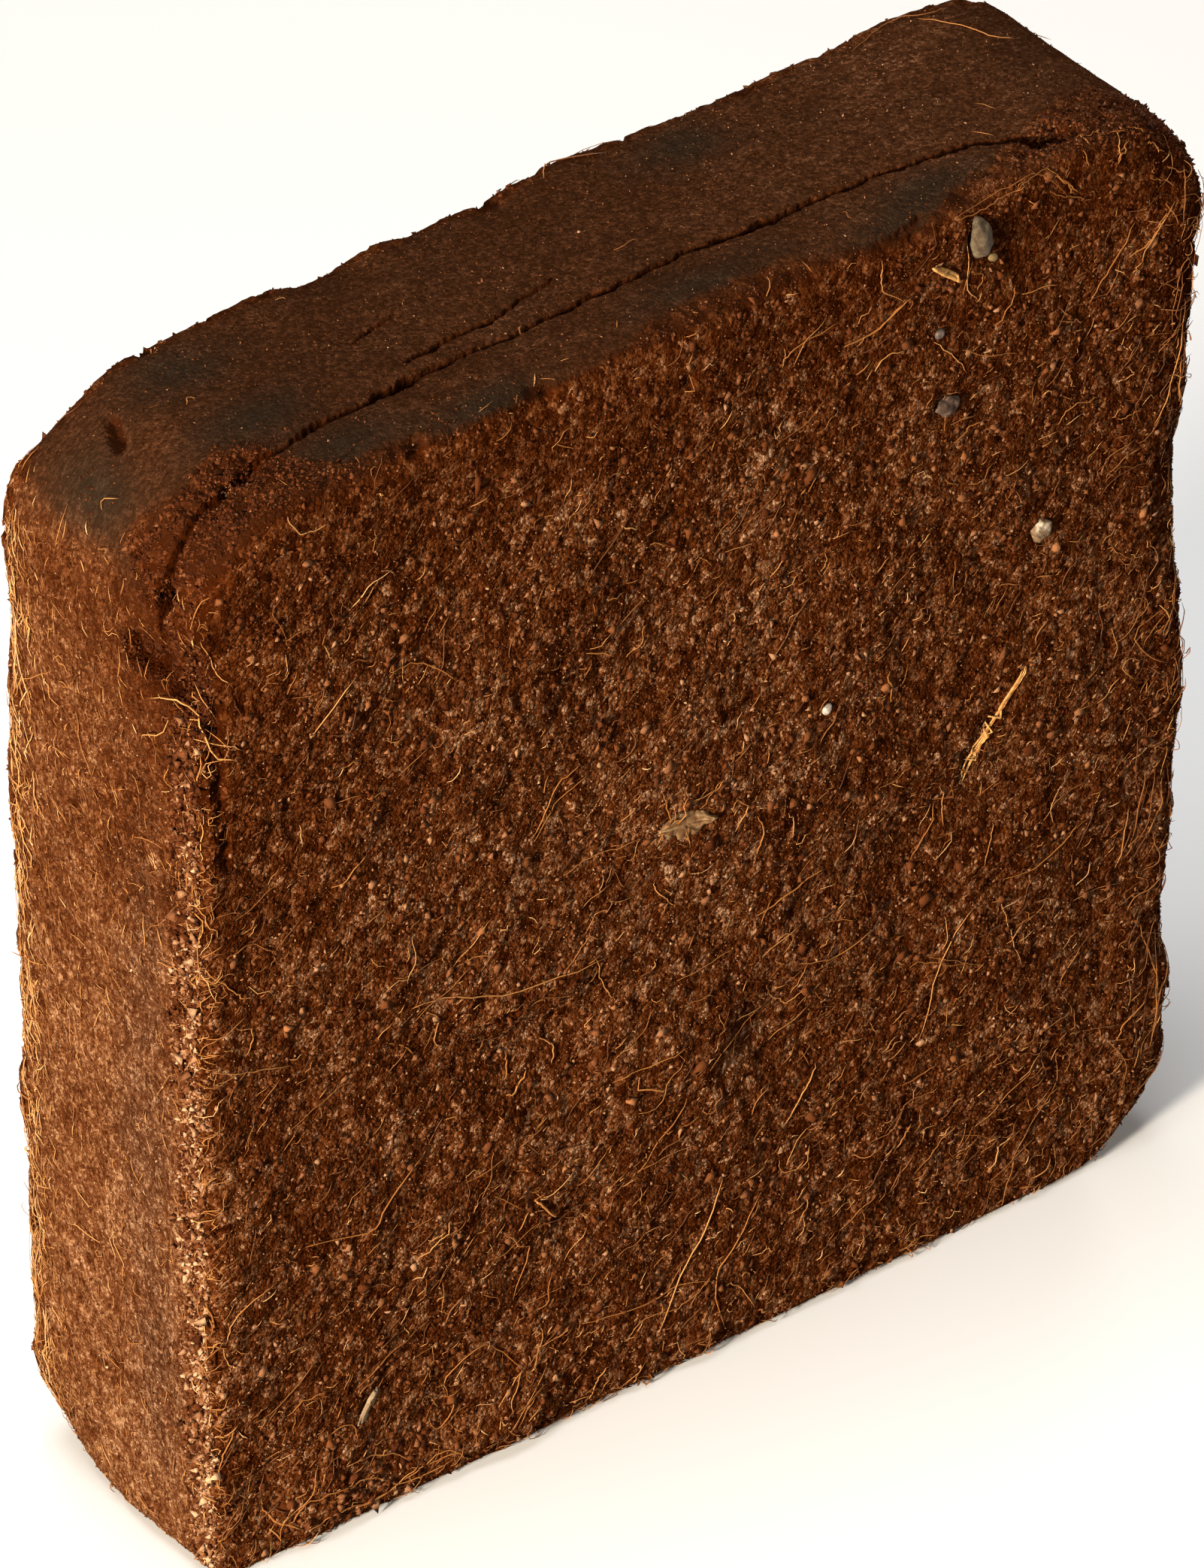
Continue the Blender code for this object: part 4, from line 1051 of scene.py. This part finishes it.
def veined(name, stops, scale, roughness, bump, gloss):
    """A stone's finish: cloudy shades over fine specks."""
    made, tree, shader = finish(name, roughness, gloss)
    place = places_of(tree)
    blotches = clouds(tree, shaken(tree, place, 0.002, 0.002), scale, 5.0)
    specks = clouds(tree, place, scale * 9.0, 2.0)
    shade = sum_of(tree, (blotches, 0.75), (specks, 0.25))
    tree.links.new(shades(tree, shade, stops), shader.inputs["Base Color"])
    uneven = node(tree, "MapRange", {"Value": specks, "To Min": roughness - 0.12,
                                     "To Max": roughness + 0.15})
    tree.links.new(uneven.outputs[0], shader.inputs["Roughness"])
    bumped(tree, shader, shade, bump, 0.0004)
    return made


quartz = veined("cloudy_quartz", (
    (0.32, 0.042, 0.025, 0.013), (0.46, 0.088, 0.06, 0.035), (0.58, 0.148, 0.11, 0.069),
    (0.74, 0.3, 0.235, 0.15),
), 420.0, 0.4, 0.5, 0.12)
stone("quartz_pebble", 2, ((0.004, 0.0006), (0.0016, 0.00022)), quartz)
amber = veined("amber_grit", (
    (0.35, 0.09, 0.052, 0.018), (0.55, 0.23, 0.155, 0.062), (0.70, 0.4, 0.29, 0.135),
), 900.0, 0.4, 0.4, 0.15)
stone("amber_grit", 3, ((0.0016, 0.00018),), amber)
grey_stone = veined("grey_stone", (
    (0.35, 0.046, 0.034, 0.027), (0.52, 0.125, 0.096, 0.078), (0.68, 0.36, 0.31, 0.27),
), 900.0, 0.5, 0.5, 0.08)
stone("small_grey_pebble", 3, ((0.0018, 0.00022),), grey_stone)
slate = veined("slate", (
    (0.36, 0.034, 0.022, 0.016), (0.50, 0.084, 0.054, 0.04), (0.60, 0.165, 0.11, 0.083),
    (0.72, 0.4, 0.25, 0.18),
), 380.0, 0.6, 0.6, 0.03)
stone("slate_pebble", 2, ((0.0022, 0.0008), (0.001, 0.00025)), slate)
white_stone = veined("white_stone", (
    (0.35, 0.24, 0.19, 0.15), (0.52, 0.52, 0.46, 0.4), (0.68, 0.78, 0.74, 0.68),
), 900.0, 0.5, 0.5, 0.2)
stone("white_stone_chip", 2, ((0.0014, 0.0003),), white_stone)
shell = veined("shell_chip", (
    (0.38, 0.11, 0.06, 0.028), (0.52, 0.24, 0.155, 0.085), (0.62, 0.52, 0.43, 0.31),
    (0.72, 0.8, 0.72, 0.6),
), 360.0, 0.5, 0.6, 0.15)
stone("shell_chip", 3, ((0.0022, 0.0002), (0.0008, 0.00012)), shell, "SIMPLE")


# The husk flake. A ragged, leaf-shaped scrap of the coconut's outer skin, dull tan, with the
# grain running along it; one end has lifted off the face.
FLAKE_HALF_WIDTH, FLAKE_THICKNESS = 0.0036, 0.0005


def long_way(node_name):
    """Middle, longest direction (toward the right) and half length of one of the solids."""
    points = points_of(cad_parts[node_name].data).astype(float)
    middle = (points.min(0) + points.max(0)) / 2
    way = np.linalg.svd(points - points.mean(0), full_matrices=False)[2][0]
    way *= np.sign(way[0] + 1e-9)
    return middle, way, np.abs((points - middle) @ way).max()


middle, way, half = long_way("husk_flake")
middle[1] = FRONT
spot, out, rise = over_skin(Vector(middle))
out = np.array(out)
side = np.cross(out, way)
side /= np.linalg.norm(side)
bpy.ops.object.select_all(action="DESELECT")
bpy.ops.mesh.primitive_grid_add(x_subdivisions=40, y_subdivisions=14, size=2.0)
flake = bpy.context.object
flake.name = flake.data.name = "husk_flake_form"
points = points_of(flake.data).astype(float)
u, v = points[:, 0], points[:, 1]
none = np.zeros_like(u)
lengthwise, crosswise = np.stack([u * 3.0, none, none], 1), np.stack([v * 4.0, none, none], 1)
ragged = (1.0 + 0.40 * cloudy(lengthwise, 1.0, 61.0)
          + 0.50 * np.sign(v) * cloudy(lengthwise, 0.3, 63.0))
fringe = 1.0 + 0.30 * np.abs(u) ** 3 * cloudy(crosswise, 1.0, 64.0)
width = FLAKE_HALF_WIDTH * (1.0 - np.abs(u) ** 1.5) ** 0.8 * ragged + 0.00025
ridges = cloudy(np.stack([u * 0.6, v * 7.0, none], 1), 1.0, 62.0)
lift = 0.0009 + 0.0014 * np.maximum(u, 0.0) ** 2 - 0.0007 * v ** 2 + 0.00022 * ridges
points = (np.array(spot) + out * rise + (u * half * fringe)[:, None] * way
          + (v * width)[:, None] * side + lift[:, None] * out)
set_points(flake.data, points)
add_values(flake.data, "grain", ridges)
work_on(flake)
body = flake.modifiers.new("body", "SOLIDIFY")
body.thickness = FLAKE_THICKNESS
body.offset = 0.0
bpy.ops.object.modifier_apply(modifier="body")
bpy.ops.object.mode_set(mode="EDIT")
bpy.ops.mesh.select_all(action="SELECT")
bpy.ops.mesh.normals_make_consistent(inside=False)
bpy.ops.object.mode_set(mode="OBJECT")
bpy.ops.object.shade_smooth()
husk, tree, shader = finish("husk_skin", 0.7, 0.1)
blotches = clouds(tree, shaken(tree, places_of(tree), 0.002, 0.001), 500.0, 4.0)
shade = sum_of(tree, (value_of(tree, "grain"), 0.40), (blotches, 0.9))
tree.links.new(shades(tree, shade, (
    (0.15, 0.06, 0.023, 0.008), (0.38, 0.185, 0.09, 0.038), (0.56, 0.34, 0.2, 0.093),
    (0.80, 0.57, 0.39, 0.215),
)), shader.inputs["Base Color"])
bumped(tree, shader, shade, 0.5, 0.0004)
flake.data.materials.append(husk)
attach(flake, "root")
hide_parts("husk_flake")


# Stalks: a stub of golden straw, a bundle of coir fibres that has stayed together and frays at
# its lower end, and a pale splinter of bark. All lie in the face of the block.
def bundle(replaced, count, width, spread, fray, sides, points, seed, material):
    """Strands side by side along one of the model's stalks, spread apart at one end by fray.
    width is the usual thickness and its spread, and spread is how far they lie from the middle."""
    middle, way, half = long_way(replaced)
    chance = np.random.default_rng(seed)
    out = np.array(smooth_tree.find_nearest(Vector(middle))[1])
    side = np.cross(out, way)
    side /= np.linalg.norm(side)
    share = np.linspace(-1.0, 1.0, points)
    lean = chance.normal(0.0, 1.0, (count, 1))
    sway = lean * (spread + fray * np.maximum(-share, 0.0)[None] ** 2)
    sway += chance.normal(0.0, 0.2, (count, 1)) * spread * np.sin(share * 4.0)[None]
    reach = half * chance.uniform(0.86, 1.0, (count, 1)) * share[None]
    middle[1] = FRONT
    tracks = middle + reach[..., None] * way + sway[..., None] * side
    rise = np.abs(chance.normal(0.0, 0.6, (count, 1))) * width[0] + width[0] * 0.35
    tracks, outs = laid(tracks, np.repeat(rise, points, 1))
    widths = width[0] * chance.uniform(1.0 - width[1], 1.0 + width[1], count)
    tone = chance.uniform(0.3, 1.0, count)
    made = strands(replaced + "_form", tracks, outs, widths, tone, material, sides, taper=0.45)
    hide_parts(replaced)
    work_on(made)
    bpy.ops.object.shade_smooth()


def stalky(name, stops, roughness):
    """A stalk's finish, streaked and slightly rough."""
    return toned(name, stops, roughness, 0.1, 0.4, 800.0, 4.0, 0.6, 0.0003)


straw = stalky("straw", (
    (0.30, 0.25, 0.1, 0.024), (0.50, 0.57, 0.28, 0.078), (0.70, 0.8, 0.5, 0.2),
), 0.45)
bundle("straw_stub", 4, (0.0012, 0.2), 0.00026, 0.0001, 8, 12, 71, straw)
golden = stalky("bundled_fibre", (
    (0.30, 0.16, 0.05, 0.011), (0.50, 0.42, 0.18, 0.045), (0.72, 0.72, 0.42, 0.15),
), 0.5)
bundle("fibre_bundle", 12, (0.00042, 0.3), 0.0004, 0.0015, 5, 22, 72, golden)
bark = stalky("bark", (
    (0.30, 0.13, 0.078, 0.04), (0.50, 0.29, 0.195, 0.115), (0.70, 0.5, 0.37, 0.24),
), 0.7)
bundle("bark_splinter", 5, (0.0008, 0.25), 0.00028, 0.0001, 5, 12, 73, bark)


# The stage: a plain pale floor, a warm soft key light from the left, a broad light overhead
# and two that fill the front and the back.
bpy.ops.object.select_all(action="DESELECT")
bpy.ops.mesh.primitive_plane_add(size=30.0, location=(0.0, 0.0, -0.0002))
floor = bpy.context.object
floor.name = "floor"
floor_finish, _, shader = finish("pale_floor", 0.9)
shader.inputs["Base Color"].default_value = (0.93, 0.96, 1.00, 1.0)
floor.data.materials.append(floor_finish)
floor.visible_diffuse = False


def soft_light(name, place, aim, size, power, colour):
    """A round soft light at a place, turned toward its aim."""
    light = bpy.data.lights.new(name, "AREA")
    light.shape = "DISK"
    light.size = size
    light.energy = power
    light.color = colour
    lamp = bpy.data.objects.new(name, light)
    lamp.location = place
    lamp.rotation_euler = (Vector(aim) - Vector(place)).to_track_quat("-Z", "Y").to_euler()
    bpy.context.collection.objects.link(lamp)


soft_light("warm_key", (-1.82, -0.56, 0.54), (0.0, 0.0, 0.15), 0.30, 88.0, (1.0, 0.85, 0.66))
soft_light("overhead", (-0.2, 0.1, 2.2), (0.0, 0.0, 0.0), 1.6, 34.0, (1.0, 0.98, 0.95))
soft_light("front_fill", (-0.2, -2.4, 0.9), (0.0, 0.0, 0.15), 1.2, 11.5, (1.0, 0.85, 0.70))
soft_light("back_fill", (2.1, 1.8, 0.30), (0.0, 0.0, 0.15), 1.0, 38.0, (1.0, 0.88, 0.74))
world = bpy.data.worlds.new("studio")
world.use_nodes = True
sky = world.node_tree.nodes["Background"]
sky.inputs["Color"].default_value = (0.95, 0.97, 1.0, 1.0)
sky.inputs["Strength"].default_value = 0.09
bpy.context.scene.world = world
bpy.context.scene.view_settings.view_transform = "Standard"


# The camera: a long lens from the front left, looking down on the block, so that its upright
# edges stay nearly parallel. The place and the way are those fitted to the photograph.
lens = bpy.data.cameras.new("camera")
lens.lens = 365.8
lens.sensor_fit = "VERTICAL"
lens.sensor_height = 36.0
camera = bpy.data.objects.new("camera", lens)
camera.location = (-1.9115, -2.4339, 2.3426)
forward = Vector((0.5034, 0.64197, -0.57833))
camera.rotation_euler = forward.to_track_quat("-Z", "Y").to_euler()
bpy.context.collection.objects.link(camera)
bpy.context.scene.camera = camera
